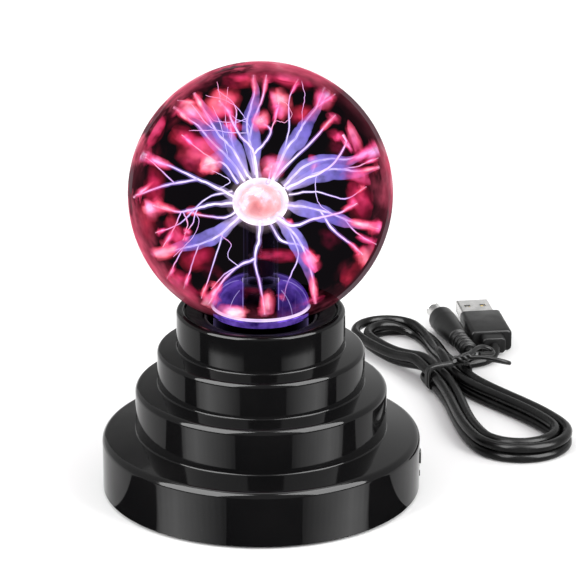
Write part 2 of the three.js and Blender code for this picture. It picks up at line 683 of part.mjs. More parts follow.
add('slide_switch_body', switchBody(), MATT_BLACK);
add('slide_switch_knob', switchKnob(), MATT_BLACK, [0, -KNOB_TRAVEL / 2, PORT_Z]);
add('socket_housing', socketHousing(), MATT_BLACK, inSocket);
add('socket_pin', socketPin(), STEEL, inSocket);
add('socket_contact', socketContact(), STEEL, inSocket);

addOnPlug(DC_PLUG, 'dc_plug_overmould', ribbedOvermould(), MATT_BLACK);
addOnPlug(DC_PLUG, 'dc_plug_barrel', dcBarrel(), STEEL);
addOnPlug(DC_PLUG, 'dc_plug_insulator', dcInsulator(), MATT_BLACK);
addOnPlug(USB_PLUG, 'usb_plug_overmould', usbOvermould(), MATT_BLACK);
addOnPlug(USB_PLUG, 'usb_plug_shell', usbShell(), STEEL);
addOnPlug(USB_PLUG, 'usb_plug_tongue', usbTongue(), WHITE_PLASTIC);
add('cord_lead_dc', cordLead(DC_LEAD, 6), RUBBER);
add('cord_lead_usb', cordLead(USB_LEAD, 12), RUBBER);
addInHankPlane('cord_hank', cordHank(), RUBBER);
addInHankPlane('hank_tie', hankTie(), MATT_BLACK);

export default plasmaBall;
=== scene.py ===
"""A plasma ball: a glass globe of violet streamers on a stepped gloss-black base, with its USB lead
in a tied hank behind it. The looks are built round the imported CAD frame. Sizes in the tables below are
in millimetres and are scaled by MM where a mesh is made; Blender itself works in metres.
"""

import math

import bmesh
import bpy
from mathutils import Matrix, Vector, noise


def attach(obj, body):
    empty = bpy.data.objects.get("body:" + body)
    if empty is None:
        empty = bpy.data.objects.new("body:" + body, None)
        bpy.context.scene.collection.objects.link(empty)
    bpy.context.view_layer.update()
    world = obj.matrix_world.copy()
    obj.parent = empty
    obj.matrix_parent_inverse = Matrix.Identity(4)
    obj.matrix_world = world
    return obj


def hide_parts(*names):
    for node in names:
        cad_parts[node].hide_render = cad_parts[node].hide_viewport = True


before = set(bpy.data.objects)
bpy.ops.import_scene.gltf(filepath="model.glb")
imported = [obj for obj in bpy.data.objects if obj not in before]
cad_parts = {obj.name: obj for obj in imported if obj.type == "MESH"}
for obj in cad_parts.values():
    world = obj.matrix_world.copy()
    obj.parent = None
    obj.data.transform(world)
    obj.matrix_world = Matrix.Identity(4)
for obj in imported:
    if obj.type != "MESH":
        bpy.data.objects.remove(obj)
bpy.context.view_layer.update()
MM = 0.001
NOISE_SEED = 3
noise.seed_set(NOISE_SEED)  # noise_vector draws its offsets from it

# ---------------------------------------------------------------- driving dimensions
FOOT_LIFT = 0.8
WALL = 2.2
TIERS = [  # radius, height of the top edge, rise of the ledge to the next riser, radius of the edge
    (51.5, 17.9, 1.7, 2.4),
    (40.6, 34.4, 1.0, 2.0),
    (33.4, 47.1, 0.9, 1.6),
    (27.1, 60.4, 0.0, 1.2),
]
LEDGE_FILLET = 0.5
GLOBE_RADIUS = 41.9
GLOBE_CENTRE_Z = 99.6
GLASS_WALL = 1.3
NECK_RADIUS = 16.8
NECK_BOTTOM_Z = 53.0
STEM_RADIUS = 5.5
STEM_WALL = 1.1
DOME_RADIUS = 15.2
DOME_FOOT_Z = 61.5
DOME_HEIGHT = 9.4
BULB_RADIUS = 8.55
BULB_HALF_HEIGHT = 7.1
BULB_CENTRE_Z = 97.0
PORT_Z = 10.7
SOCKET_Y = 12.5
KNOB_TRAVEL = 4.0
KNOB_WIDTH = 2.8

CORD_DIAMETER = 3.4
TIE_PLACE = Vector((65.0, 84.0, 0.0))
HANK_ANGLE = math.radians(113)
LOWER_FOLD = -55.0
UPPER_FOLD = 44.0
INNER_FOLD_RADIUS = 10.2
DC_REAR, DC_TURN, DC_AXIS_Z = (19.0, -17.3), -8.5, 4.8
USB_REAR, USB_TURN, USB_AXIS_Z = (21.0, -28.5), -15.0, 4.1

COLLAR = len(TIERS) - 1
COLLAR_RADIUS = TIERS[COLLAR][0]
RIM_Z = FOOT_LIFT + TIERS[COLLAR][1]
SEAT_BORE_RADIUS = COLLAR_RADIUS - 2.4
SHELF_Z = RIM_Z - 2.3
SHELF_HOLE_RADIUS = 21.5
GLOBE_CENTRE = Vector((0, 0, GLOBE_CENTRE_Z))
BULB_CENTRE = Vector((0, 0, BULB_CENTRE_Z))


# ---------------------------------------------------------------- camera
CAMERA_DISTANCE = 1.0115  # metres
CAMERA_LENS = 198  # mm, on a sensor of this width
CAMERA_SENSOR = 36
FARTHEST_SEEN = 20  # metres
CAMERA_ELEVATION = math.radians(20)
CAMERA_AIM = Vector((8.7, 0, 68.0)) * MM
TOWARDS_CAMERA = Vector((0, -math.cos(CAMERA_ELEVATION), math.sin(CAMERA_ELEVATION)))
ACROSS = Vector((1, 0, 0))
UPWARDS = Vector((0, math.sin(CAMERA_ELEVATION), math.cos(CAMERA_ELEVATION)))

THROUGH_GLASS = 16  # how much brighter the discharge is than it looks through the globe's painted-dark wall


def in_scene(name, data):
    item = bpy.data.objects.new(name, data)
    bpy.context.scene.collection.objects.link(item)
    return item


def set_to_face(item, place, direction):
    """Places a camera or a lamp, which looks down its own -Z."""
    item.location = place
    item.rotation_mode = "QUATERNION"
    item.rotation_quaternion = direction.to_track_quat("-Z", "Y")


def make_camera():
    data = bpy.data.cameras.new("camera")
    data.lens = CAMERA_LENS
    data.sensor_width = CAMERA_SENSOR
    data.clip_end = FARTHEST_SEEN
    camera = in_scene("camera", data)
    set_to_face(camera, CAMERA_AIM + TOWARDS_CAMERA * CAMERA_DISTANCE, -TOWARDS_CAMERA)
    bpy.context.scene.camera = camera


make_camera()


# ---------------------------------------------------------------- node materials
class Shading:
    """A node material under construction. Inputs that are sockets are linked; others are values."""

    def __init__(self, name):
        self.material = bpy.data.materials.new(name)
        self.material.use_nodes = True
        self.tree = self.material.node_tree
        self.tree.nodes.clear()
        self.output = self.tree.nodes.new("ShaderNodeOutputMaterial")

    def node(self, kind, inputs=None, **settings):
        made = self.tree.nodes.new("ShaderNode" + kind)
        for key, value in settings.items():
            setattr(made, key, value)
        for key, value in (inputs or {}).items():
            self.feed(made.inputs[key], value)
        return made

    def feed(self, socket, value):
        if isinstance(value, bpy.types.NodeSocket):
            self.tree.links.new(value, socket)
        else:
            socket.default_value = value

    def place(self, scale=1.0, stretch=(1, 1, 1)):
        """Object coordinates in millimetres, divided by scale."""
        coordinates = self.node("TexCoord").outputs["Object"]
        factor = [1000 / scale * part for part in stretch]
        return self.node("Mapping", {"Vector": coordinates, "Scale": factor}).outputs["Vector"]

    def noise(self, size, detail=3.0, stretch=(1, 1, 1), roughness=0.5):
        """Noise with features of about size millimetres."""
        vector = self.place(size, stretch)
        inputs = {"Vector": vector, "Scale": 1.0, "Detail": detail, "Roughness": roughness}
        return self.node("TexNoise", inputs).outputs["Fac"]

    def ramp(self, fac, *stops):
        made = self.node("ValToRGB", {"Fac": fac})
        elements = made.color_ramp.elements
        while len(elements) < len(stops):
            elements.new(0.5)
        for element, (position, colour) in zip(elements, stops):
            element.position = position
            element.color = (*colour, 1)
        return made.outputs["Color"]

    def spread(self, fac, low, high, from_low=0.0, from_high=1.0):
        inputs = {"Value": fac, "From Min": from_low, "From Max": from_high, "To Min": low, "To Max": high}
        return self.node("MapRange", inputs).outputs["Result"]

    def math(self, operation, a, b=0.0):
        made = self.node("Math", operation=operation)
        self.feed(made.inputs[0], a)
        self.feed(made.inputs[1], b)
        return made.outputs[0]

    def bump(self, height, strength, depth, normal=None):
        inputs = {"Height": height, "Strength": strength, "Distance": depth * MM}
        if normal is not None:
            inputs["Normal"] = normal
        return self.node("Bump", inputs).outputs["Normal"]

    def part(self, vector, axis):
        return self.node("SeparateXYZ", {0: vector}).outputs[axis]

    def facing(self):
        """How nearly edge on the surface is seen: 0 face on, 1 at its rim."""
        return self.node("LayerWeight", {"Blend": 0.5}).outputs["Facing"]

    def value(self, name):
        """A number that the mesh carries at each of its points."""
        return self.node("Attribute", attribute_name=name).outputs["Fac"]

    def blend(self, share, first, second, blend_type="MIX"):
        inputs = {0: share, 6: first, 7: second}
        return self.node("Mix", inputs, data_type="RGBA", blend_type=blend_type).outputs[2]

    def finish(self, shader):
        self.tree.links.new(shader, self.output.inputs["Surface"])
        return self.material

    def surface(self, colour, roughness, normal, **more):
        """Ends the material as a solid surface; more names other inputs of the Principled shader."""
        inputs = {"Base Color": colour, "Roughness": roughness, "Normal": normal, **more}
        return self.finish(self.node("BsdfPrincipled", inputs).outputs[0])

    def glowing(self, amount, colour, strength, beneath):
        """Ends the material as light of its own over another shader, too small a lamp to be sampled."""
        glow = self.node("Emission", {"Color": colour, "Strength": strength})
        mix = self.node("MixShader", {0: amount, 1: beneath.outputs[0], 2: glow.outputs[0]})
        self.material.cycles.emission_sampling = "NONE"
        return self.finish(mix.outputs[0])


def grey(value):
    return (value, value, value)


def gloss_black():
    """Polished black ABS: nearly a mirror, with faint swirl marks, dust nibs and finger haze."""
    s = Shading("gloss_black")
    haze = s.noise(22, 4)
    swirl = s.noise(0.35, 2, stretch=(1, 1, 6))
    colour = s.ramp(haze, (0.3, (0.0032, 0.0032, 0.0035)), (0.75, (0.0052, 0.0050, 0.0052)))
    roughness = s.math("ADD", s.spread(haze, 0.035, 0.085, 0.35, 0.7), s.spread(swirl, 0, 0.015))
    cells = s.node("TexVoronoi", {"Vector": s.place(5.5), "Scale": 1.0}, feature="F1").outputs["Distance"]
    nib = s.spread(cells, 1, 0, 0.0, 0.035)
    normal = s.bump(s.noise(9, 2), 0.05, 0.12, s.bump(nib, 0.25, 0.03))
    return s.surface(colour, roughness, normal, IOR=1.22)


def moulded(name, dark, light, roughness=(0.4, 0.6), grain=0.5, depth=0.04, mottle=9.0, ior=1.45):
    """Moulded plastic or rubber: a fine grain over slow changes of tone."""
    s = Shading(name)
    colour = s.ramp(s.noise(mottle, 4), (0.3, dark), (0.7, light))
    rough = s.spread(s.noise(mottle * 0.7, 3), *roughness, 0.3, 0.7)
    return s.surface(colour, rough, s.bump(s.noise(grain, 3), 0.6, depth), IOR=ior)


def metal(name, dark, light, roughness=(0.18, 0.4), grain=0.25, stretch=(1, 1, 1)):
    """Bare or plated metal with drawn or tumbled marks and duller patches."""
    s = Shading(name)
    patches = s.noise(3.5, 4)
    marks = s.noise(grain, 3, stretch)
    colour = s.ramp(patches, (0.3, dark), (0.7, light))
    rough = s.math("ADD", s.spread(patches, *roughness, 0.3, 0.7), s.spread(marks, -0.05, 0.05))
    return s.surface(colour, rough, s.bump(marks, 0.5, 0.01), Metallic=1)


# Where the pink glow painted on the rim is left out, as seen from the front: (across, up) from the
# globe's centre, then a radius.
DARK_RIM_SPOTS = [((31, 24), 15), ((36, -24), 27), ((-9.5, 35), 7), ((-37, 3), 9), ((-30, 20), 8)]


def glass_painted_dark():
    """The globe's wall, painted dark in place of a dark room: it passes little of the bright room,
    so that the discharge shows as in the dark.

    Its edge carries a painted pink glow, standing in for the gas behind it that the glass shows there.
    """
    s = Shading("globe_glass")
    painted_dark_mottle = s.noise(30, 3)
    # Painted shade: the wall's dark grey tint stands in for a dark room round the globe.
    tint = s.ramp(painted_dark_mottle, (0.3, (0.235, 0.225, 0.24)), (0.7, (0.265, 0.25, 0.265)))
    wall = s.node("BsdfTransparent", {"Color": tint})

    # Painted glow: pink light on the glass's rim, for the gas behind it.
    facing = s.facing()
    drift = s.noise(13, 3, roughness=0.6)
    warmth = s.math("ADD", s.math("MULTIPLY", facing, 0.55), s.math("MULTIPLY", s.noise(8, 3), 0.6))
    tone = s.ramp(warmth, (0.5, (0.33, 0.03, 0.07)), (0.75, (0.72, 0.11, 0.19)), (0.9, (1.0, 0.38, 0.48)))
    edge = s.spread(s.math("ADD", facing, s.spread(drift, -0.16, 0.16, 0.3, 0.7)), 0, 1, 0.5, 0.82)
    amount = s.math("MULTIPLY", edge, s.spread(s.part(s.place(), "Z"), 0, 0.96, 66, 80))
    from_centre = s.node("VectorMath", {0: s.place(), 1: GLOBE_CENTRE}, operation="SUBTRACT").outputs[0]
    upwards = s.node("VectorMath", {0: from_centre, 1: UPWARDS}, operation="DOT_PRODUCT").outputs["Value"]
    wandering = s.spread(s.noise(7, 3), -5, 5, 0.3, 0.7)
    across = s.math("ADD", s.part(from_centre, "X"), wandering)
    seen = s.node("CombineXYZ", {"X": across, "Y": s.math("ADD", upwards, wandering)}).outputs[0]
    for (spot_across, spot_up), radius in DARK_RIM_SPOTS:
        spot = (spot_across, spot_up, 0)
        away = s.node("VectorMath", {0: seen, 1: spot}, operation="DISTANCE").outputs["Value"]
        amount = s.math("MULTIPLY", amount, s.spread(away, 0.08, 1, radius * 0.6, radius * 1.15))
    return s.glowing(amount, tone, 1, wall)


def stem_glass():
    """Clear lead glass with a painted glow along its edges for the discharge's light,
    darker from 63 mm down to its foot.
    """
    s = Shading("stem_glass")
    streaks = s.noise(4, 3, stretch=(1, 1, 0.2))
    clear = s.node("BsdfTransparent", {"Color": (0.93, 0.91, 0.97, 1)})
    body = s.node("BsdfPrincipled", {"Base Color": (0.006, 0.005, 0.015, 1), "Roughness": 0.05})
    height = s.part(s.place(), "Z")
    # Darker from 63 mm down to the foot, besides the faint streaks all over.
    solid = s.math("MAXIMUM", s.spread(height, 0.97, 0, 60.5, 63), s.spread(streaks, 0.05, 0.11, 0.3, 0.7))
    glass = s.node("MixShader", {0: solid, 1: clear.outputs[0], 2: body.outputs[0]})
    # Painted glow: the stem's edges give light of their own, for the discharge's light caught in the glass.
    edge = s.math("POWER", s.facing(), 5.0)
    along = s.spread(height, 0.8, 0.10, 70, 74)
    amount = s.math("MULTIPLY", s.math("MULTIPLY", edge, along), s.spread(streaks, 0.4, 1, 0.35, 0.65))
    return s.glowing(amount, (0.42, 0.36, 0.8, 1), 0.5 * THROUGH_GLASS, glass)


# ---------------------------------------------------------------- mesh helpers
SMOOTH_ANGLE = 35  # degrees; an edge sharper than this stays sharp


def add_piece(name, mesh, material, body="base", replaces=()):
    piece = in_scene(name, mesh)
    mesh.materials.clear()
    mesh.materials.append(material)
    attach(piece, body)
    if replaces:
        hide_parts(*replaces)
    return piece


def add_glow(name, mesh, material):
    add_piece(name, mesh, material)


def new_mesh(name, vertices, faces, smooth_angle=SMOOTH_ANGLE):
    """A mesh from points in millimetres."""
    mesh = bpy.data.meshes.new(name)
    mesh.from_pydata([Vector(v) * MM for v in vertices], [], faces)
    smooth_by_angle(mesh, smooth_angle)
    return mesh


def add_values(mesh, name, values):
    attribute = mesh.attributes.new(name, "FLOAT", "POINT")
    attribute.data.foreach_set("value", values)


def smooth_by_angle(mesh, degrees):
    tidy = bmesh.new()
    tidy.from_mesh(mesh)
    bmesh.ops.remove_doubles(tidy, verts=tidy.verts, dist=1e-7)
    bmesh.ops.recalc_face_normals(tidy, faces=tidy.faces)
    tidy.to_mesh(mesh)
    tidy.free()
    mesh.polygons.foreach_set("use_smooth", [True] * len(mesh.polygons))
    mesh.set_sharp_from_angle(angle=math.radians(degrees))


def rounded(corners, step=10):
    """An outline of corners (x, y) or (x, y, radius). A radius becomes an arc tangent to both sides."""
    outline = []
    for index, corner in enumerate(corners):
        x, y, radius = (*corner, 0)[:3]
        here = Vector((x, y))
        if radius == 0:
            outline.append(here)
            continue
        before = (Vector(corners[index - 1][:2]) - here).normalized()
        after = (Vector(corners[(index + 1) % len(corners)][:2]) - here).normalized()
        half = math.acos(max(-1, min(1, before.dot(after)))) / 2
        centre = here + (before + after).normalized() * radius / math.sin(half)
        start = here + before * radius / math.tan(half) - centre
        sweep = math.pi - 2 * half
        turn = math.copysign(sweep, after.x * before.y - after.y * before.x)
        count = max(2, math.ceil(math.degrees(sweep) / step))
        for number in range(count + 1):
            angle = turn * number / count
            spun = Matrix.Rotation(angle, 2) @ start
            outline.append(centre + spun)
    return outline


def turned(name, outline, segments=96, smooth_angle=SMOOTH_ANGLE):
    """Turns an outline of (radius, height) about Z. It starts and ends on the axis, or is closed here."""
    on_axis = outline[0][0] < 1e-6 and outline[-1][0] < 1e-6
    vertices = []
    rings = []
    for radius, height in outline:
        if radius < 1e-6:
            rings.append([len(vertices)] * segments)
            vertices.append((0, 0, height))
            continue
        rings.append([len(vertices) + number for number in range(segments)])
        for number in range(segments):
            angle = 2 * math.pi * number / segments
            vertices.append((radius * math.cos(angle), radius * math.sin(angle), height))
    faces = []
    pairs = list(zip(rings, rings[1:])) if on_axis else list(zip(rings, rings[1:] + rings[:1]))
    for low, high in pairs:
        for number in range(segments):
            following = (number + 1) % segments
            face = [low[number], low[following], high[following], high[number]]
            unique = list(dict.fromkeys(face))
            if len(unique) > 2:
                faces.append(unique)
    return new_mesh(name, vertices, faces, smooth_angle)


def ellipse_arc(centre_z, half_width, half_height, start, end, steps):
    """Points of (radius, height) on an ellipse; the angle is from straight down."""
    angles = [start + (end - start) * number / steps for number in range(steps + 1)]
    return [(half_width * math.sin(a), centre_z - half_height * math.cos(a)) for a in angles]


def frames_along(points):
    """The direction and two sideways axes at each point, carried along without twist."""
    directions = []
    for index in range(len(points)):
        ahead = points[min(index + 1, len(points) - 1)]
        behind = points[max(index - 1, 0)]
        directions.append((ahead - behind).normalized())
    side = directions[0].orthogonal().normalized()
    axes = []
    for direction in directions:
        side = (side - direction * side.dot(direction)).normalized()
        axes.append((direction, side, direction.cross(side)))
    return axes


def tube_parts(points, radii, sides=8, first=0):
    """Vertices and faces of a closed tube that ends in points of its own, numbered from first."""
    vertices = [points[0]]
    for point, radius, (_, side, up) in zip(points, radii, frames_along(points)):
        for number in range(sides):
            angle = 2 * math.pi * number / sides
            vertices.append(point + (side * math.cos(angle) + up * math.sin(angle)) * radius)
    vertices.append(points[-1])
    last = first + len(vertices) - 1
    faces = []
    for number in range(sides):
        following = (number + 1) % sides
        faces.append((first, first + 1 + following, first + 1 + number))
        for ring in range(len(points) - 1):
            low = first + 1 + ring * sides
            faces.append((low + number, low + following, low + sides + following, low + sides + number))
        top = first + 1 + (len(points) - 1) * sides
        faces.append((last, top + number, top + following))
    return vertices, faces


def tube(name, points, radii, sides):
    vertices, faces = tube_parts([Vector(p) for p in points], radii, sides)
    return new_mesh(name, vertices, faces, 50)


def smooth_path(points, per_span=6):
    """A Catmull-Rom curve through the points."""
    points = [Vector(p) for p in points]
    ends = [points[0] * 2 - points[1], *points, points[-1] * 2 - points[-2]]
    path = []
    for a, b, c, d in zip(ends, ends[1:], ends[2:], ends[3:]):
        squared = 2 * a - 5 * b + 4 * c - d
        cubed = 3 * b - a - 3 * c + d
        for number in range(per_span):
            t = number / per_span
            path.append(0.5 * (2 * b + (c - a) * t + squared * t**2 + cubed * t**3))
    return [*path, points[-1]]


def extruded(name, outline, bottom, top, bevel=0.0):
    """A plate with the outline in X and Y, its two rims rounded by bevel."""
    made = bmesh.new()
    face = made.faces.new([made.verts.new((x, y, bottom)) for x, y in outline])
    lifted = bmesh.ops.extrude_face_region(made, geom=[face])["geom"]
    far_side = [part for part in lifted if isinstance(part, bmesh.types.BMVert)]
    bmesh.ops.translate(made, verts=far_side, vec=(0, 0, top - bottom))
    bmesh.ops.recalc_face_normals(made, faces=made.faces)
    if bevel:
        rims = [e for e in made.edges if abs(e.verts[0].co.z - e.verts[1].co.z) < 1e-9]
        shape = {"segments": 3, "profile": 0.5, "affect": "EDGES", "clamp_overlap": True}
        bmesh.ops.bevel(made, geom=rims, offset=bevel, **shape)
    bmesh.ops.scale(made, verts=made.verts, vec=(MM, MM, MM))
    mesh = bpy.data.meshes.new(name)
    made.to_mesh(mesh)
    made.free()
    smooth_by_angle(mesh, SMOOTH_ANGLE)
    return mesh


def rectangle(half_x, half_y, radius=0.0):
    sides = ((-1, -1), (1, -1), (1, 1), (-1, 1))
    return rounded([(half_x * a, half_y * b, radius) for a, b in sides], 15)


def along_x(mesh):
    """Turns a mesh made up Z so that it runs along X."""
    mesh.transform(Matrix.Rotation(math.pi / 2, 4, "Y"))
    return mesh


def moved(mesh, x=0.0, y=0.0, z=0.0):
    mesh.transform(Matrix.Translation(Vector((x, y, z)) * MM))
    return mesh


def joined(name, meshes):
    whole = bmesh.new()
    for mesh in meshes:
        whole.from_mesh(mesh)
    result = bpy.data.meshes.new(name)
    whole.to_mesh(result)
    whole.free()
    for mesh in meshes:
        bpy.data.meshes.remove(mesh)
    return result


def combined(mesh, others, operation):
    """The mesh with the others' shapes joined to it, or taken out of it, as one solid."""
    body = in_scene("body", mesh)
    tools = [in_scene("tool", other) for other in others]
    for tool in tools:
        modifier = body.modifiers.new("combine", "BOOLEAN")
        modifier.operation = operation
        modifier.solver = "EXACT"
        modifier.object = tool
    bpy.context.view_layer.update()
    result = bpy.data.meshes.new_from_object(body.evaluated_get(bpy.context.evaluated_depsgraph_get()))
    for item in (body, *tools):
        bpy.data.objects.remove(item)
    return result


def carved(mesh, cutters, smooth_angle=SMOOTH_ANGLE):
    """The mesh with the cutters' shapes taken out of it."""
    result = combined(mesh, cutters, "DIFFERENCE")
    smooth_by_angle(result, smooth_angle)
    return result


# ---------------------------------------------------------------- USB lead
def hank_point(u, v, z):
    """A place on the table, from the hank's own axes: u along it from the tie, v to its left."""
    return Matrix.Rotation(HANK_ANGLE, 3, "Z") @ Vector((u, v, z)) + TIE_PLACE


def ease(t):
    t = max(0.0, min(1.0, t))
    return t * t * (3 - 2 * t)


# The free stretches, as (u, v, z): from the plug's rear into the tie, and from the tie to the other plug.
DC_LEAD = [
    (18.65, -17.25, 4.8), (15.5, -16.6, 5.2), (13, -15.4, 5.6), (11.3, -13.2, 5.9), (9.8, -10.8, 6.3),
    (7.8, -8.7, 6.7), (5.2, -7, 6.6), (2.6, -6.1, 6.1),
]
USB_LEAD = [
    (2.5, 5.8, 2.3), (5.5, 5.75, 2), (9, 5, 1.75), (11.8, 3, 1.75), (13.6, -0.4, 1.75), (14, -4, 1.75),
    (14, -9, 1.75), (14, -14, 1.8), (14, -19, 1.8), (14.6, -23, 1.9), (16.4, -26.2, 2.6),
    (18.5, -27.8, 3.7), (20.55, -28.38, 4.1),
]
# The folds in order from the DC plug: centre, then the radius and layer it comes in on and goes out on.
OUTER_LOWER, INNER_LOWER = INNER_FOLD_RADIUS + 6.1, INNER_FOLD_RADIUS + 2.7
OUTER_UPPER = INNER_FOLD_RADIUS + CORD_DIAMETER
FOLDS = [
    (LOWER_FOLD, OUTER_LOWER, 1, OUTER_LOWER, 1),
    (UPPER_FOLD + CORD_DIAMETER, OUTER_UPPER, 1, INNER_FOLD_RADIUS, 1),
    (LOWER_FOLD + 1.5, INNER_LOWER, 1, INNER_LOWER, 1),
    (UPPER_FOLD, INNER_FOLD_RADIUS, 1, INNER_FOLD_RADIUS, 0),
    (LOWER_FOLD, INNER_LOWER, 0, INNER_LOWER, 0),
    (UPPER_FOLD, INNER_FOLD_RADIUS, 0, OUTER_UPPER, 0),
    (LOWER_FOLD, OUTER_LOWER, 0, OUTER_LOWER, 0),
]
OUTER_IN_TIE, INNER_IN_TIE = 5.8, 2.0  # how far a strand is from the hank's middle in the tie
CROSSING_U = 13.0
FOLD_STEPS = 10


def strand_height(u, layer):
    """The lower layer lies on the table, save in the tie's band and over the lead that crosses it."""
    in_tie = 0.8 * math.exp(-((u / 4) ** 2))
    over_lead = CORD_DIAMETER * math.exp(-(((u - CROSSING_U) / 6) ** 2))
    return CORD_DIAMETER / 2 + 0.02 + in_tie + over_lead + layer * CORD_DIAMETER


def strand(centre, radius, layer, side, outer):
    """The points from the tie out to a fold's start, not counting the fold's own."""
    points = []
    in_tie = OUTER_IN_TIE if outer else INNER_IN_TIE
    for fraction in (0.0, 0.12, 0.26, 0.42, 0.6, 0.8):
        width = in_tie + (radius - in_tie) * ease(fraction)
        u = centre * fraction
        points.append((u, side * width, strand_height(u, layer)))
    return points


def fold(centre, radius_in, layer_in, radius_out, layer_out):
    """Half a turn round a fold. Strands run down on the right and up on the left."""
    direction = math.copysign(1, centre)
    points = []
    for number in range(FOLD_STEPS + 1):
        t = number / FOLD_STEPS
        angle = math.pi * t
        radius = radius_in + (radius_out - radius_in) * ease(t)
        layer = layer_in + (layer_out - layer_in) * ease(2 * t - 0.9)
        u = centre + direction * radius * math.sin(angle)
        points.append((u, direction * radius * math.cos(angle), strand_height(u, layer)))
    return points


def cord_route():
    route = list(DC_LEAD)
    for centre, radius_in, layer_in, radius_out, layer_out in FOLDS:
        lower = centre < 0
        widest = OUTER_LOWER if lower else OUTER_UPPER
        side = -1 if lower else 1
        back = strand(centre, radius_out, layer_out, -side, radius_out == widest)
        route += strand(centre, radius_in, layer_in, side, radius_in == widest)
        route += fold(centre, radius_in, layer_in, radius_out, layer_out)
        route += back[:0:-1]
    route += [(0, OUTER_IN_TIE, strand_height(0, 0)), *USB_LEAD]
    return [hank_point(*point) for point in route]


def cord_pvc():
    """Satin black PVC: fine extrusion lines and a slightly waxy, uneven gloss."""
    s = Shading("cord_pvc")
    tone = s.noise(6, 4)
    colour = s.ramp(tone, (0.3, grey(0.004)), (0.7, grey(0.008)))
    normal = s.bump(s.noise(0.25, 3), 0.35, 0.02, s.bump(s.noise(2.5, 2), 0.25, 0.12))
    return s.surface(colour, s.spread(tone, 0.16, 0.32, 0.3, 0.7), normal, IOR=1.2)


def make_cord():
    data = bpy.data.curves.new("usb_lead_cord", "CURVE")
    data.dimensions = "3D"
    data.bevel_depth = CORD_DIAMETER / 2 * MM
    data.bevel_resolution = 5
    data.resolution_u = 3
    data.use_fill_caps = True
    route = cord_route()
    spline = data.splines.new("NURBS")
    spline.points.add(len(route) - 1)
    for point, place in zip(spline.points, route):
        point.co = (*(place * MM), 1)
    spline.order_u = 4
    spline.use_endpoint_u = True
    data.materials.append(cord_pvc())
    cord = in_scene("usb_lead_cord", data)
    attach(cord, "base")
    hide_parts("cord_lead_dc", "cord_lead_usb", "cord_hank")
    return cord


cord = make_cord()


# ---------------------------------------------------------------- plugs and tie
DC_GRIP_LENGTH = 34.0
DC_TIP = 43.5
TIE_WIDTH = 3.6
TIE_THICKNESS = 0.55


def set_on_plug(mesh, rear, turn, axis_z):
    """Sets a mesh made along X, from the plug's rear, in its place on the table."""
    angle = HANK_ANGLE + math.radians(turn)
    place = hank_point(*rear, axis_z)
    mesh.transform(Matrix.Translation(place * MM) @ Matrix.Rotation(angle, 4, "Z"))
    return mesh


def dc_overmould():
    """The tapered grip with its ribbed relief, open at the front round the barrel."""
    neck, rib, pitch, ribs_end, radius, length = 2.5, 3.2, 2.8, 12.0, 4.75, DC_GRIP_LENGTH
    outline = [(0, 0), (neck - 0.4, 0), (neck, 0.3)]
    for number in range(4):
        z = 0.6 + number * pitch
        outline += [(neck, z, 0.15), (rib, z + 0.3, 0.3), (rib, z + 1.5, 0.3), (neck, z + 1.8, 0.15)]
    outline += [(neck, ribs_end, 0.4), (3.6, ribs_end + 0.6, 0.5), (radius, length - 6, 12),
                (radius, length, 0.7), (3.1, length, 0.3), (3.1, length - 3), (0, length - 3)]
    return along_x(turned("dc_overmould", rounded(outline), 64))


def dc_barrel():
    """A plain sleeve with a shallow groove round it near the tip."""
    inside, outside, groove, start = 2.2, 2.75, 2.55, DC_GRIP_LENGTH - 2.7
    outline = [
        (inside, start), (outside, start), (outside, DC_TIP - 1.4, 0.1), (groove, DC_TIP - 1.1, 0.1),
        (groove, DC_TIP - 0.8, 0.1), (outside, DC_TIP - 0.6, 0.1), (outside, DC_TIP, 0.15),
        (inside, DC_TIP, 0.15),
    ]
    return along_x(turned("dc_barrel", rounded(outline), 64))


def dc_insulator():
    start, end = DC_GRIP_LENGTH - 2.7, DC_TIP - 0.4
    outline = [(1.05, start), (1.9, start), (1.9, end, 0.2), (1.05, end, 0.2)]
    return along_x(turned("dc_insulator", rounded(outline), 48))


def dc_spring():
    """The spring contact inside the barrel's bore: four sprung fingers seen from the front."""
    fingers = []
    bowed = ((34, 0.8), (38, 0.62), (41, 0.5), (42.4, 0.72))  # along the plug, off its axis
    for number in range(4):
        angle = math.pi / 2 * number + 0.4
        points = [(x, r * math.cos(angle), r * math.sin(angle)) for x, r in bowed]
        fingers.append(tube(f"finger_{number}", smooth_path(points, 4), [0.16] * 13, 6))
    return joined("dc_spring", fingers)


def bar_along_x(name, start, end, half_y, half_z, radius, bevel):
    """A bar along X with rounded corners to its section and bevelled ends."""
    return along_x(extruded(name, rectangle(half_z, half_y, radius), start, end, bevel))


def usb_overmould():
    """The flat grip: a stepped boot at the rear, finger ridges, and a pocket round the shell."""
    body = bar_along_x("usb_body", 5, 27, 7.5, 4, 1.6, 0.9)
    boot = bar_along_x("usb_boot", 0, 7, 4.2, 3, 1.5, 0.6)
    pocket = bar_along_x("usb_pocket", 24.7, 30, 6.3, 2.55, 0.6, 0)
    notches = []
    for count, first, pitch, width, off in ((5, 9, 1.6, 0.7, 7.75), (3, 1.2, 1.5, 0.6, 4.35)):
        for number in range(count):
            x = first + pitch * number
            for side in (-1, 1):
                notches.append(moved(bar_along_x("notch", x, x + width, 0.5, 6, 0.2, 0), y=side * off))
    return carved(combined(body, [boot], "UNION"), [pocket, *notches])


def usb_shell():
    """Folded and plated steel, with two latch windows in each broad face and a seam underneath."""
    outside = bar_along_x("shell_outside", 25, 42.5, 6, 2.25, 0.6, 0.12)
    inside = bar_along_x("shell_inside", 24, 44, 5.65, 1.9, 0.35, 0)
    windows = [moved(extruded("window", rectangle(1.1, 1.1, 0.15), -4, 4), 36.2, y) for y in (-2.9, 2.9)]
    seam = moved(extruded("seam", rectangle(9, 0.06), -3, -1.95), 34)
    return carved(outside, [inside, *windows, seam])


def usb_tongue():
    return moved(bar_along_x("tongue", 25, 42, 5.3, 0.92, 0.15, 0.1), z=-0.63)


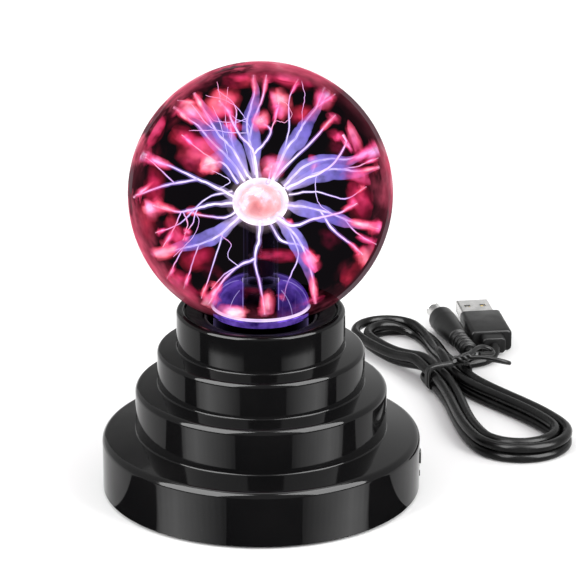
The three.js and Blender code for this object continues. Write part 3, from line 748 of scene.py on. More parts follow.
def usb_contacts():
    strips = []
    for number, y in enumerate((-3.5, -1.0, 1.0, 3.5)):
        front = 41.3 if abs(y) > 2 else 40.4
        strip = bar_along_x(f"contact_{number}", 28, front, 0.5, 0.06, 0, 0)
        strips.append(moved(strip, y=y, z=0.37))
    return joined("contacts", strips)


def hank_tie_band():
    """The path of the tie's band round the hank's waist, squarer than an ellipse."""
    half_width, half_height, clearance, squareness, count = 8.1, 4.25, 0.55, 0.42, 72
    path = []
    for number in range(count):
        angle = 2 * math.pi * number / count
        c, s = math.cos(angle), math.sin(angle)
        v = half_width * math.copysign(abs(c) ** squareness, c)
        z = half_height * math.copysign(abs(s) ** squareness, s)
        path.append(Vector((0, v, z + half_height + clearance)))
    return path


def closed_strip(name, path, width, thickness):
    """A strip round a closed path, raised along its middle over a wire."""
    half = [(-0.5, -0.5), (-0.18, -0.5), (-0.12, -0.9), (0.12, -0.9), (0.18, -0.5), (0.5, -0.5)]
    section = [*half, *[(-a, -b) for a, b in half]]  # in shares of the width and the thickness
    across = Vector((1, 0, 0))
    vertices, faces = [], []
    count, size = len(path), len(section)
    for index, point in enumerate(path):
        following = (index + 1) % count
        direction = (path[following] - path[index - 1]).normalized()
        wide = (across - direction * across.dot(direction)).normalized()
        out = direction.cross(wide)
        vertices += [point + wide * a * width + out * b * thickness for a, b in section]
        for number in range(size):
            beside = (number + 1) % size
            near, far = index * size, following * size
            faces.append((near + number, near + beside, far + beside, far + number))
    return new_mesh(name, vertices, faces, 40)


def twist_and_tails():
    """The tie's two ends, twisted together on top of the hank and then looped back on themselves."""
    base = Vector((0, -2.0, 9.3))
    wire = 0.75
    turns = 1.5
    bends = [(1.6, -1.8, 0.3), (4.2, -4.6, 0.5), (6.8, -8.4, -0.2), (6.6, -11.6, -1.6),
             (4.0, -11.2, -2.2), (3.0, -8.0, -1.4), (2.2, -5.0, -0.9)]
    parts = []
    for side in (-1, 1):
        twist = []
        for t in (number / 21 for number in range(22)):
            angle = math.pi * (side * 0.5 + 0.5) + 2 * math.pi * turns * t
            rise = 0.9 + 0.4 * t
            twist.append(base + Vector((wire * math.cos(angle), -6.5 * t, wire * math.sin(angle) + rise)))
        loop = [twist[-1] + Vector((side * x, y, z)) for x, y, z in bends]
        path = smooth_path([twist[0], *twist[3::3], *loop], 5)
        parts.append(tube(f"tail_{side}", path, [wire] * len(path), 10))
    return joined("tails", parts)


def make_plugs():
    black = moulded("plug_plastic", grey(0.006), grey(0.011), (0.28, 0.42), 0.28, 0.022, 7, 1.22)
    tie = moulded("tie_plastic", grey(0.006), grey(0.012), (0.25, 0.4), 0.4, 0.03, 5, 1.25)
    nickel = metal("plug_nickel", (0.40, 0.40, 0.39), (0.58, 0.57, 0.56), (0.12, 0.26), 0.5, (0.1, 1, 1))
    white = moulded("usb_tongue_plastic", (0.62, 0.62, 0.6), (0.75, 0.75, 0.72), (0.4, 0.55), 0.4, 0.01)
    gold = metal("contact_gold", (0.75, 0.52, 0.18), (0.9, 0.68, 0.28), (0.15, 0.3))
    inside = moulded("dc_insulator_plastic", grey(0.012), grey(0.02), (0.4, 0.5))
    dc = (DC_REAR, DC_TURN, DC_AXIS_Z)
    usb = (USB_REAR, USB_TURN, USB_AXIS_Z)
    table = [
        ("dc_plug_grip", dc_overmould(), dc, black, "plug_black", ["dc_plug_overmould"]),
        ("dc_plug_sleeve", dc_barrel(), dc, nickel, "plug_nickel", ["dc_plug_barrel"]),
        ("dc_plug_inner_ring", dc_insulator(), dc, inside, "matt_black", ["dc_plug_insulator"]),
        ("dc_plug_spring_contact", dc_spring(), dc, gold, "plug_nickel", []),
        ("usb_plug_grip", usb_overmould(), usb, black, "plug_black", ["usb_plug_overmould"]),
        ("usb_plug_steel_shell", usb_shell(), usb, nickel, "plug_nickel", ["usb_plug_shell"]),
        ("usb_plug_insulator", usb_tongue(), usb, white, "nylon_white", ["usb_plug_tongue"]),
        ("usb_plug_contacts", usb_contacts(), usb, gold, "plug_nickel", []),
    ]
    pieces = []
    for name, mesh, (rear, turn, axis_z), material, slot, nodes in table:
        set_on_plug(mesh, rear, turn, axis_z)
        pieces.append(add_piece(name, mesh, material, replaces=nodes))
    to_table = Matrix.Translation(TIE_PLACE * MM) @ Matrix.Rotation(HANK_ANGLE, 4, "Z")
    band = closed_strip("tie_band", hank_tie_band(), TIE_WIDTH, TIE_THICKNESS)
    tails = twist_and_tails()
    for name, mesh, nodes in (("tie_band", band, ["hank_tie"]), ("tie_twisted_tails", tails, [])):
        mesh.transform(to_table)
        pieces.append(add_piece(name, mesh, tie, replaces=nodes))
    return pieces


plug_pieces = make_plugs()


# ---------------------------------------------------------------- floor and light
FLOOR_REACH = 6000


def studio():
    scene = bpy.context.scene
    scene.view_settings.view_transform = "Standard"
    scene.cycles.transparent_max_bounces = 160
    scene.cycles.min_transparent_bounces = 60
    world = bpy.data.worlds.new("studio")
    world.use_nodes = True
    background = world.node_tree.nodes["Background"].inputs
    background["Color"].default_value = (1, 1, 1, 1)
    background["Strength"].default_value = 1.0
    scene.world = world

    s = Shading("floor_paper")
    tone = s.noise(300, 2)
    colour = s.ramp(tone, (0.3, grey(0.94)), (0.7, grey(0.96)))
    corners = [(x, y, 0) for x, y in rectangle(FLOOR_REACH, FLOOR_REACH)]
    mesh = new_mesh("floor", corners, [(0, 1, 2, 3)])
    mesh.materials.append(s.finish(s.node("BsdfDiffuse", {"Color": colour}).outputs[0]))
    in_scene("floor", mesh)


def around(azimuth, elevation, distance):
    """A place about the base; the azimuth in degrees is from the front, to the right."""
    turn, tilt = math.radians(azimuth), math.radians(elevation)
    level = distance * math.cos(tilt)
    return Vector((math.sin(turn) * level, -math.cos(turn) * level, distance * math.sin(tilt)))


def area_light(name, place, aim, size, power, in_gloss=False):
    """A soft light. One that is in gloss shows only as a reflection in polished surfaces."""
    data = bpy.data.lights.new(name, "AREA")
    data.shape = "RECTANGLE"
    data.size, data.size_y = size
    data.energy = power
    light = in_scene(name, data)
    set_to_face(light, place, aim - Vector(place))
    light.visible_camera = False
    light.visible_glossy = in_gloss
    light.visible_diffuse = not in_gloss


def reflected_light(name, place, aim, size, radiance):
    area_light(name, place, aim, size, radiance * math.pi * size[0] * size[1], True)


def reflected_card(name, mesh, material):
    """A part of the studio that only polished surfaces see."""
    mesh.materials.append(material)
    card = in_scene(name, mesh)
    for ray in ("camera", "diffuse", "transmission", "volume_scatter", "shadow"):
        setattr(card, f"visible_{ray}", False)


def flag(name, corners, tone):
    """A plain card, dark or grey, with its corners in millimetres."""
    s = Shading(name)
    colour = s.ramp(s.noise(60), (0.3, grey(tone * 0.85)), (0.7, grey(tone)))
    paper = s.finish(s.node("BsdfDiffuse", {"Color": colour}).outputs[0])
    reflected_card(name, new_mesh(name, corners, [tuple(range(len(corners)))]), paper)


PANEL_REACH = 150
PANEL_GLOW = [(0, 0.15), (0.4, 0.65), (0.68, 1.0), (0.9, 0.65), (1, 0.12)]  # share of the width, brightness


def floor_panel(name, inner, outer, radiance):
    """A glowing panel on the floor whose image stands up the risers between two angles from the front.

    A riser that faces some way round from the front mirrors what lies twice as far round.
    """
    vertices = []
    across = []
    steps = 12
    for number in range(steps + 1):
        turn = inner + (outer - inner) * number / steps
        foot = around(turn, 0, TIERS[0][0] + 0.3) + Vector((0, 0, 0.6))
        away = around(2 * turn, 0, PANEL_REACH)
        vertices += [foot, foot + away]
        across += [number / steps] * 2
    mesh = new_mesh(name, vertices, [(2 * n, 2 * n + 1, 2 * n + 3, 2 * n + 2) for n in range(steps)])
    add_values(mesh, "across", across)
    s = Shading(name)
    glow = s.ramp(s.value("across"), *[(share, grey(value)) for share, value in PANEL_GLOW])
    strength = s.spread(s.noise(40), radiance * 0.85, radiance, 0.3, 0.7)
    shader = s.node("Emission", {"Color": glow, "Strength": strength})
    reflected_card(name, mesh, s.finish(shader.outputs[0]))


def make_lights():
    """The lamps are placed in metres and the cards in millimetres."""
    middle = Vector((0, 0, 0.05))
    area_light("softbox_left", (-1.0, -0.9, 0.75), middle, (0.5, 0.9), 12)
    area_light("softbox_right", (1.0, -0.75, 0.75), middle, (0.5, 0.9), 12)
    reflected_light("window_left", around(-51, 36, 1.3) + middle, middle, (1.2, 1.6), 24)
    reflected_light("window_right", around(57, 36, 1.3) + middle, middle, (1.05, 1.6), 22)
    reflected_light("ceiling", (0, 0.1, 1.5), middle, (1.6, 0.9), 5)
    floor_panel("panel_left", -12, -40, 7)
    floor_panel("panel_right", 15, 42, 7)
    before = ((-1200, -900), (600, -900), (600, -20), (-1200, -20))
    behind = ((-500, 20), (75, 20), (75, 700), (-500, 700))
    flag("floor_flag", [(x, y, 0.3) for x, y in before], 0.004)
    flag("back_flag", [(x, 900, z) for x, z in behind], 0.3)


studio()
make_lights()


# ---------------------------------------------------------------- base
def tier_top(index):
    return FOOT_LIFT + TIERS[index][1]


def ledge_foot(index):
    return tier_top(index) + TIERS[index][2]


def housing_outline():
    outside = [(TIERS[0][0], FOOT_LIFT, 0.3)]
    inside = [(TIERS[0][0] - WALL, FOOT_LIFT, 0.3)]
    for index in range(COLLAR):
        radius, _, _, edge = TIERS[index]
        following = TIERS[index + 1][0]
        outside += [(radius, tier_top(index), edge), (following, ledge_foot(index), LEDGE_FILLET)]
        step = [(following - WALL, ledge_foot(index) - WALL), (radius - WALL, tier_top(index) - WALL)]
        inside = step + inside
    rim = [
        (COLLAR_RADIUS, RIM_Z, TIERS[COLLAR][3]), (SEAT_BORE_RADIUS, RIM_Z, 0.5),
        (SEAT_BORE_RADIUS, SHELF_Z), (SHELF_HOLE_RADIUS, SHELF_Z),
        (SHELF_HOLE_RADIUS, SHELF_Z - WALL), (COLLAR_RADIUS - WALL, SHELF_Z - WALL),
    ]
    return rounded([*outside, *rim, *inside], 9)


def base_housing():
    """The stepped shell, with the recess and slot of the switch and the socket's hole, all on +X."""
    slot_half = (KNOB_TRAVEL + KNOB_WIDTH) / 2 + 0.4
    recess = moved(bar_along_x("recess", 50.4, 54, 5.6, 3.1, 2.6, 0), z=PORT_Z)
    slot = moved(bar_along_x("slot", 45, 54, slot_half, 1.6, 0.3, 0), z=PORT_Z)
    hole_outline = rounded([(0, 44), (4.7, 44), (4.7, 50.6, 0.1), (5.2, 51.3), (5.4, 54), (0, 54)])
    hole = moved(along_x(turned("hole", hole_outline, 48)), y=SOCKET_Y, z=PORT_Z)
    shell = carved(turned("shell", housing_outline(), 192), [recess, slot, hole], 30)
    ticks = []
    for side in (-1, 1):
        tick = extruded(f"tick_{side}", rectangle(0.3, 1.0, 0.25), 50.6, TIERS[0][0] + 0.14, 0.06)
        ticks.append(moved(along_x(turned_quarter(tick)), y=side * KNOB_TRAVEL / 2, z=PORT_Z - 6))
    return joined("base_housing", [shell, *ticks])


def turned_quarter(mesh):
    """A quarter turn about Z, so that an outline's Y becomes its X."""
    mesh.transform(Matrix.Rotation(math.pi / 2, 4, "Z"))
    return mesh


def seat_ring():
    """The matt ring in the collar's mouth, with a funnel down to the globe's neck."""
    sleeve, foot, lip = 18.6, 50, RIM_Z - 0.5
    spigot, flange, rest = SHELF_HOLE_RADIUS - 0.3, SEAT_BORE_RADIUS - 0.5, SHELF_Z + 0.3
    outline = rounded([
        (sleeve, foot, 0.3), (spigot, foot, 0.3), (spigot, rest), (flange, rest), (flange, lip, 0.3),
        (flange - 0.6, lip, 0.3), (sleeve + 2.2, lip - 1.0, 1.5), (sleeve, lip - 1.5, 0.5),
    ])
    return turned("seat", outline, 144)


def cushion_ring():
    bore, outside, low, high = NECK_RADIUS + 0.3, 18.3, 52, 58.6
    outline = rounded([(bore, low, 0.3), (outside, low, 0.3), (outside, high, 0.6), (bore, high, 0.6)])
    return turned("cushion", outline, 96)


def make_base():
    add_piece("base_shell", base_housing(), gloss_black(), replaces=["base_housing"])
    seat = moulded("seat_rubber", grey(0.004), grey(0.009), (0.45, 0.65), 0.5, 0.05, 4, 1.15)
    add_piece("globe_seat_ring", seat_ring(), seat, replaces=["globe_seat"])
    rubber = moulded("cushion_rubber", grey(0.010), grey(0.018), (0.7, 0.85), 0.6, 0.06, 5)
    add_piece("neck_cushion", cushion_ring(), rubber, replaces=["seat_cushion_ring"])


# ---------------------------------------------------------------- glass and electrode
def globe_glass():
    inner, neck_inner, lip = GLOBE_RADIUS - GLASS_WALL, NECK_RADIUS - GLASS_WALL, 0.6
    inner_start = math.asin(neck_inner / inner)
    outer_start = math.asin(NECK_RADIUS / GLOBE_RADIUS)
    inside = ellipse_arc(GLOBE_CENTRE_Z, inner, inner, math.pi, inner_start, 72)
    outside = ellipse_arc(GLOBE_CENTRE_Z, GLOBE_RADIUS, GLOBE_RADIUS, outer_start, math.pi, 76)
    bottom = NECK_BOTTOM_Z
    neck = rounded([inside[-1], (neck_inner, bottom, lip), (NECK_RADIUS, bottom, lip), (NECK_RADIUS, 58)])
    return turned("globe", clean_poles([*inside, *neck[1:-1], *outside]), 160)


def clean_poles(outline):
    """The outline with its first and last points exactly on the axis."""
    points = [tuple(p) for p in outline]
    return [(0.0, points[0][1]), *points[1:-1], (0.0, points[-1][1])]


def stem_surface(inset):
    """One side of the stem's glass, from its foot up to the bulb's top; inset is 0 on the gas side."""
    dome_steps, bulb_steps = 20, 28
    tube_radius, bulb_radius = STEM_RADIUS - inset, BULB_RADIUS - inset
    points = [(DOME_RADIUS - inset, NECK_BOTTOM_Z + 0.2)]
    for number in range(dome_steps + 1):
        angle = math.pi / 2 * number / dome_steps
        radius = tube_radius + (DOME_RADIUS - STEM_RADIUS) * math.cos(angle)
        points.append((radius, DOME_FOOT_Z - inset + DOME_HEIGHT * math.sin(angle)))
    start = math.asin(tube_radius / bulb_radius)
    half_height = BULB_HALF_HEIGHT - inset
    return points + ellipse_arc(BULB_CENTRE_Z, bulb_radius, half_height, start, math.pi, bulb_steps)


def stem():
    return turned("stem", clean_poles([*stem_surface(STEM_WALL)[::-1], *stem_surface(0)]), 96)


def exhaust_tip():
    outline = rounded([(0, 54), (0.7, 54.4, 0.4), (2.1, 57.5, 3), (2.1, 66.6, 0.3), (0, 66.6)])
    return moved(turned("exhaust", outline, 32), x=9)


def steel_wool():
    """A ball of fine wire: one strand that wanders over the inside of the bulb. Its lumpy core is made
    apart.
    """
    inset = STEM_WALL + 0.5
    wide, high = BULB_RADIUS - inset, BULB_HALF_HEIGHT - inset
    wire, count = 0.16, 900
    points = []
    for number in range(count):
        t = number / count
        wander = noise.noise_vector(Vector((t * 40, 3.7, 1.3)))
        turn = t * 61.0 + 1.2 * wander.x
        tilt = math.asin(max(-0.97, min(0.97, math.sin(t * 37.0) + 0.35 * wander.y)))
        reach = 0.9 + 0.1 * wander.z
        level = wide * math.cos(tilt)
        way = Vector((level * math.cos(turn), level * math.sin(turn), high * math.sin(tilt)))
        points.append(BULB_CENTRE + way * reach)
    return tube("wool", points, [wire] * count, 5)


def bulb_radii(gap):
    return BULB_RADIUS + gap, BULB_RADIUS + gap, BULB_HALF_HEIGHT + gap


def lumpy_ball(name, centre, radii, lump, size, seed, detail=4):
    """A closed ball with an uneven surface. Its lumps are taken from the noise half a turn away."""
    ball = bmesh.new()
    bmesh.ops.create_icosphere(ball, subdivisions=detail, radius=1)
    half_turn = Matrix.Rotation(math.pi, 3, "Z")
    for vertex in ball.verts:
        way = vertex.co.copy()
        bulge = 1 + lump * noise.fractal(way / size + Vector((seed, seed * 0.7, -seed)), 1.0, 2.0, 3)
        vertex.co = (centre + half_turn @ Vector([a * b * bulge for a, b in zip(way, radii)])) * MM
    mesh = bpy.data.meshes.new(name)
    ball.to_mesh(mesh)
    ball.free()
    smooth_by_angle(mesh, 180)
    return mesh


def glowing_wool():
    """Steel wool with the discharge's glow painted on it as light of its own: salmon, mottled with
    brighter and darker tufts.
    """
    s = Shading("glowing_wool")
    mottle = s.noise(6.5, 2.5)
    colour_and_painted_glow = s.ramp(mottle, (0.38, (0.70, 0.13, 0.10)), (0.50, (0.92, 0.28, 0.21)), (0.58, (1.0, 0.50, 0.40)),
                 (0.64, (1.0, 0.95, 0.88)))
    inputs = {"Base Color": colour_and_painted_glow, "Roughness": 0.5, "Metallic": 0.6}
    # Painted glow: the wire gives light of its own, for the discharge round it in the bulb.
    glow = {"Emission Color": colour_and_painted_glow, "Emission Strength": THROUGH_GLASS}
    return s.finish(s.node("BsdfPrincipled", {**inputs, **glow}).outputs[0])


def make_glass():
    add_piece("globe_glass", globe_glass(), glass_painted_dark(), replaces=["glass_globe"])
    add_piece("stem_glass", stem(), stem_glass(), replaces=["glass_stem"])
    add_piece("stem_exhaust_tip", exhaust_tip(), stem_glass(), replaces=["exhaust_tip"])
    wool = glowing_wool()
    add_piece("electrode_wool_strand", steel_wool(), wool)
    core = lumpy_ball("wool_core", BULB_CENTRE, bulb_radii(-STEM_WALL - 0.9), 0.10, 0.35, 4.0, 5)
    add_piece("electrode_wool_core", core, wool, replaces=["electrode_wool"])


make_base()
make_glass()


# ---------------------------------------------------------------- the discharge
INNER_WALL = GLOBE_RADIUS - GLASS_WALL - 0.35

# The strands as seen from the front: kind, side, then (across, up) from the globe's centre. The last point
# is on the wall, in front for side 1 and behind for -1. A side between them ends nearer the middle.
FILAMENT, RIBBON, THREAD, HAIR = 1.0, 1.6, 0.5, 0.25
STRANDS = [
    (FILAMENT, 1, [(-1, 5), (-2, 12), (-3.5, 15), (-6.5, 18), (-10, 25), (-12.5, 28)]),
    (RIBBON, 1, [(-1.5, 6), (-2.8, 14), (-4, 22), (-2, 30), (-2, 36.5)]),
    (FILAMENT, 1, [(-3, 16), (-2, 23), (0.5, 29), (2, 36.5)]),
    (FILAMENT, 1, [(-0.8, 12), (1.2, 15), (3.4, 18.5), (1.5, 20.5), (0.6, 22)]),
    (THREAD, 1, [(3.4, 18.5), (5, 23), (5.9, 27.3)]),
    (THREAD, -1, [(-3.5, 14), (-7.5, 20), (-8, 28), (-14, 34)]),
    (RIBBON, 1, [(-4, 5.5), (-8.5, 13.5), (-13, 18.5), (-17, 25), (-20.5, 31)]),
    (THREAD, 1, [(-14, 20), (-17, 22), (-22, 28), (-26, 29)]),
    (RIBBON, 1, [(-5, 4), (-9, 10), (-15, 16), (-19.5, 21), (-27, 26.7)]),
    (RIBBON, 1, [(-7, 3), (-11, 8.5), (-14, 8.6), (-17, 7.6)]),
    (THREAD, 1, [(-13, 9), (-19, 13), (-24, 17.4)]),
    (FILAMENT, 1, [(-8.4, -1), (-13, 1.6), (-19.5, 4.5), (-27, 8), (-34.5, 10.5), (-37, 11.5)]),
    (FILAMENT, 0.6, [(-19.5, 4.2), (-27, 3.2), (-31.2, 2.2), (-38.5, -0.3), (-40, -1.3)]),
    (THREAD, 1, [(-27, 3.4), (-31.8, 8), (-36, 11.3)]),
    (FILAMENT, 1, [(-8.5, -3), (-15.4, -3.6), (-21.3, -5.4), (-25.4, -6), (-33, -4.2)]),
    (THREAD, 1, [(-19.5, -5.5), (-21, -10), (-23, -13)]),
    (THREAD, 1, [(-24, -6.2), (-22.5, -9.5), (-23.5, -15)]),
    (THREAD, 1, [(-25, -6), (-26.5, -11), (-30, -17)]),
    (RIBBON, 0.4, [(-6, -6.5), (-13, -13), (-19.5, -15.9), (-27, -17.7), (-35, -19.2)]),
    (THREAD, 0.7, [(-25, -17.5), (-27, -22), (-29.5, -27)]),
    (THREAD, 0.7, [(-19, -16), (-22, -24), (-24, -30)]),
    (THREAD, -1, [(-11, -12), (-15, -22), (-19, -33)]),
    (FILAMENT, 1, [(0, -8.5), (-0.5, -14.7), (-1.7, -20.6), (0.3, -30), (1.5, -38)]),
    (FILAMENT, 1, [(-1.6, -20), (-6.7, -22.9), (-11.9, -27.6), (-16, -34.6)]),
    (THREAD, 1, [(-6, -23), (-11, -25.5), (-15, -30)]),
    (RIBBON, 1, [(5, -7.5), (10.5, -12.5), (13.8, -18.2), (16, -25), (17.3, -34.6)]),
    (FILAMENT, 1, [(5.5, -7.7), (10.3, -10.3), (16.7, -8.3), (24.3, -6.6), (30, -3.6)]),
    (THREAD, -1, [(9, -11), (12, -19), (9, -27), (7, -34)]),
    (RIBBON, 1, [(8, -3.6), (13.8, -4.2), (21.4, -6), (28.4, -8.9), (37, -11.2)]),
    (FILAMENT, 1, [(18, -6), (23, -11.5), (29, -16.5), (32, -19.4)]),
    (THREAD, 0.8, [(26, -8), (31, -13), (36.5, -16)]),
    (RIBBON, 0.6, [(7.5, 2.4), (13.8, 8.6), (21.4, 11), (28.4, 11), (37, 14.5)]),
    (FILAMENT, 1, [(8.4, 1.6), (14.4, 4.5), (18, 5.7), (22.5, 8.6), (26.6, 15), (25.4, 17.4)]),
    (RIBBON, 1, [(8.4, 1.4), (17.9, 6.3), (24.3, 7.6), (30.7, 6.9), (37.2, 8)]),
    (THREAD, 1, [(25, 8.4), (31, 8.6), (37, 11)]),
    (RIBBON, 1, [(3.8, 4.5), (8, 13.5), (11.4, 18), (13.8, 22), (17.3, 26.5), (20.2, 33)]),
    (THREAD, 1, [(14, 22.5), (18, 27), (23.5, 31)]),
    (THREAD, -1, [(6, 10), (9, 20), (9, 30), (12, 37)]),
    (FILAMENT, 1, [(2.5, 3), (3.8, 7.4)]),
    (THREAD, -1, [(9, 0), (18, 1), (27, -1), (34, 3)]),
    (THREAD, -1, [(-9, 1), (-17, -1), (-26, -9), (-34, -12)]),
    (FILAMENT, -1, [(2, 2), (8, 9), (16, 17), (24, 26)]),
    (FILAMENT, -1, [(-3, 0), (-9, -6), (-14, -7), (-24, -5)]),
    (FILAMENT, -1, [(1, -4), (6, -14), (13, -16), (18, -21)]),
    (FILAMENT, -1, [(-1, 2), (-6, 9), (-9, 16), (-10, 24)]),
    (FILAMENT, -1, [(2, 1), (10, 3), (16, 7), (18, 12)]),
    (FILAMENT, -1, [(1, -1), (3, -4), (6, -6), (9, -9)]),
    (HAIR, 0.5, [(-4.2, 22.7), (-7.1, 23), (-9.5, 25), (-11.8, 27.4), (-12.7, 30.4), (-13.6, 35)]),
    (HAIR, 0.6, [(-7, 15), (-9.5, 17.5), (-10.6, 21), (-11.2, 26.3), (-10, 33)]),
    (HAIR, 0.7, [(-3.6, 23.3), (-7.1, 22.2), (-11.8, 22.2), (-15.3, 23.3), (-19, 29)]),
    (HAIR, 0.7, [(-2.6, 18.4), (-9.5, 18.9), (-14.2, 19.4), (-22, 19)]),
    (HAIR, 0.6, [(-9.5, 12), (-11.5, 17), (-12.5, 22), (-15, 27)]),
    (HAIR, 0.6, [(-3, 20), (-6.5, 26), (-11, 29), (-17, 30.5)]),
    (HAIR, 0.8, [(12.5, 20.5), (13.3, 26.3), (13.9, 30.4), (13, 35)]),
    (HAIR, 0.5, [(3.4, 18.7), (5, 21.9), (7.6, 21.4), (9.8, 23.6), (8.8, 27), (6, 29)]),
    (HAIR, 0.6, [(17.4, 6.3), (17.2, 1), (19, -4), (23, -7)]),
    (HAIR, 0.6, [(-13, 1.9), (-9.5, 3.6), (-11.5, 5.4), (-15, 6.8)]),
    (HAIR, 0.7, [(-21, -5.3), (-19, -9), (-21, -14), (-27, -20)]),
    (HAIR, 0.5, [(-6.7, -22.9), (-10, -20), (-9, -16), (-13, -13)]),
]
STEPS_PER_SPAN = 6
ELECTRODE_MIDDLE = Vector((0, -2.5))
LONGEST_START = 11  # strands that begin farther from the electrode's middle than this are forks


def in_globe(across, up, forward):
    return GLOBE_CENTRE + ACROSS * across + UPWARDS * up + TOWARDS_CAMERA * forward


def within_globe(place, limit, centre=GLOBE_CENTRE):
    """The place itself, or the nearest to it that is no farther than limit from the centre."""
    off = place - centre
    return centre + off * min(1, limit / max(1e-9, off.length))


def nearest_spot(place, paths):
    """The point of the strands drawn so far that passes nearest to a place, as seen from the front."""
    def away(spot):
        off = spot - GLOBE_CENTRE
        return math.hypot(off.dot(ACROSS) - place[0], off.dot(UPWARDS) - place[1])
    return min((spot for path in paths for spot in path), key=away)


def strand_path(side, places, seed, earlier):
    """Gives the places their depth, growing towards the wall, and a fine waver.

    A strand that doesn't begin at the electrode forks from one of the earlier ones.
    """
    out = [(Vector(place) - ELECTRODE_MIDDLE).length for place in places]
    end_depth = side * math.sqrt(max(0, INNER_WALL**2 - Vector(places[-1]).length_squared))
    start_depth = end_depth * out[0] / out[-1]
    forks = out[0] > LONGEST_START
    if forks:
        fork = nearest_spot(places[0], earlier)
        start_depth = (fork - GLOBE_CENTRE).dot(TOWARDS_CAMERA)
    points = []
    for place, distance in zip(places, out):
        way = max(0, (min(distance, out[-1]) - out[0]) / (out[-1] - out[0]))
        points.append(in_globe(*place, start_depth + (end_depth - start_depth) * way))
    if forks:
        points[0] = fork
    path = smooth_path(points, STEPS_PER_SPAN)
    for index, point in enumerate(path[1:-1], 1):
        waver = noise.noise_vector(Vector((seed * 3.1, index * 0.6, 4.5)))
        path[index] = point + waver * 0.26
    return [within_globe(point, INNER_WALL) for point in path]


class Strands:
    """Tubes gathered into one mesh, with how far each point is along the way from electrode to wall."""

    def __init__(self, sides):
        self.sides = sides
        self.vertices = []
        self.faces = []
        self.along = []

    def add(self, path, radii, along, flatness=1.0):
        """flatness below 1 thins the tube along the direction to the front, so that it's a ribbon."""
        vertices, faces = tube_parts(path, radii, self.sides, len(self.vertices))
        if flatness < 1:
            spots = [path[0], *[p for p in path for _ in range(self.sides)], path[-1]]
            for index, (vertex, spot) in enumerate(zip(vertices, spots)):
                off = vertex - spot
                vertices[index] = spot + off - TOWARDS_CAMERA * off.dot(TOWARDS_CAMERA) * (1 - flatness)
        self.vertices += vertices
        self.faces += faces
        self.along += [along[0], *[value for value in along for _ in range(self.sides)], along[-1]]

    def mesh(self, name):
        mesh = bpy.data.meshes.new(name)
        mesh.from_pydata([v * MM for v in self.vertices], [], self.faces)
        mesh.polygons.foreach_set("use_smooth", [True] * len(mesh.polygons))
        add_values(mesh, "along", self.along)
        return mesh


EVEN = [(0, 1), (1, 1)]
HUE_DRIFT = [(0.42, (1, 0.96, 0.78)), (0.5, (1, 0.9, 0.95)), (0.58, (0.92, 0.66, 1))]


def gas(name, stops, strength, opacity, along_opacity, wisp, wisp_range, softness=1.2, fading=0.0):
    """Glowing gas: what shows of it grows with the depth of gas that is looked through, and it is wispy.

    Gas whose edges are fading cools there too, and drifts between salmon and magenta.
    """
    s = Shading(name)
    along = s.value("along")
    wander = s.noise(wisp, 2)
    through = s.math("SUBTRACT", 1.0, s.facing())
    thick = s.math("POWER", through, softness)
    shifted = s.math("ADD", along, s.spread(wander, -0.08, 0.08, 0.3, 0.7))
    if fading:
        fade = s.value("fade")
        cooler = s.spread(s.math("MULTIPLY", fade, through), -0.42, 0.06, 0.3, 1.0)
        shifted = s.math("ADD", shifted, cooler)
    colour = s.ramp(shifted, *stops)
    if fading:
        colour = s.blend(1.0, colour, s.ramp(s.noise(13, 1), *HUE_DRIFT), "MULTIPLY")
    patchy = s.spread(wander, *wisp_range, 0.35, 0.65)
    reach = s.ramp(along, *[(place, grey(value)) for place, value in along_opacity])
    fac = s.math("MULTIPLY", s.math("MULTIPLY", thick, patchy), s.math("MULTIPLY", reach, opacity))
    if fading:
        fac = s.math("MULTIPLY", fac, s.math("POWER", fade, fading))
    return s.glowing(fac, colour, strength * THROUGH_GLASS, s.node("BsdfTransparent"))


PINK_WHITE = (1.0, 0.55, 0.75)
PINK = (0.95, 0.15, 0.32)
RED = (0.55, 0.03, 0.08)


CORE_COLOURS = [
    (0.0, (1, 0.98, 1)), (0.4, (0.86, 0.84, 1.0)), (0.7, (0.72, 0.58, 1.0)), (0.9, (1.0, 0.55, 0.8)),
    (1.0, PINK_WHITE),
]
SHEATH_COLOURS = [
    (0.0, (0.80, 0.70, 1.0)), (0.35, (0.42, 0.36, 0.95)), (0.65, (0.40, 0.25, 0.85)), (0.88, PINK),
    (1.0, PINK_WHITE),
]
RIBBON_COLOURS = [
    (0.0, (0.74, 0.62, 1.0)), (0.25, (0.36, 0.33, 0.90)), (0.62, (0.24, 0.20, 0.76)),
    (0.85, (0.62, 0.20, 0.5)), (1.0, PINK),
]
CORE_RADIUS = 0.42
SHEATH_RADIUS = 0.95
HAIR_HEAT = 0.62  # how far along the way from violet to pink a hair gets


def add_ribbon(ribbons, path, shares, ripple, along, seed):
    """A flat petal of gas that follows a strand, a little to one side of it."""
    swell = [math.sin(math.pi * min(1, share * 1.02) ** 0.75) ** 1.2 for share in shares]
    petal = [0.5 + 2.5 * bulge * (1 - 0.25 * share) for bulge, share in zip(swell, shares)]
    side = math.copysign(0.9, noise.noise(Vector((seed, 5, 5))))
    middle = []
    for point, (direction, _, _), share in zip(path, frames_along(path), shares):
        sideways = direction.cross(TOWARDS_CAMERA).normalized()
        middle.append(point + sideways * side * math.sin(math.pi * share))
    ribbons.add(middle, [width * (1 + r) / 2 for width, r in zip(petal, ripple)], along, 0.38)


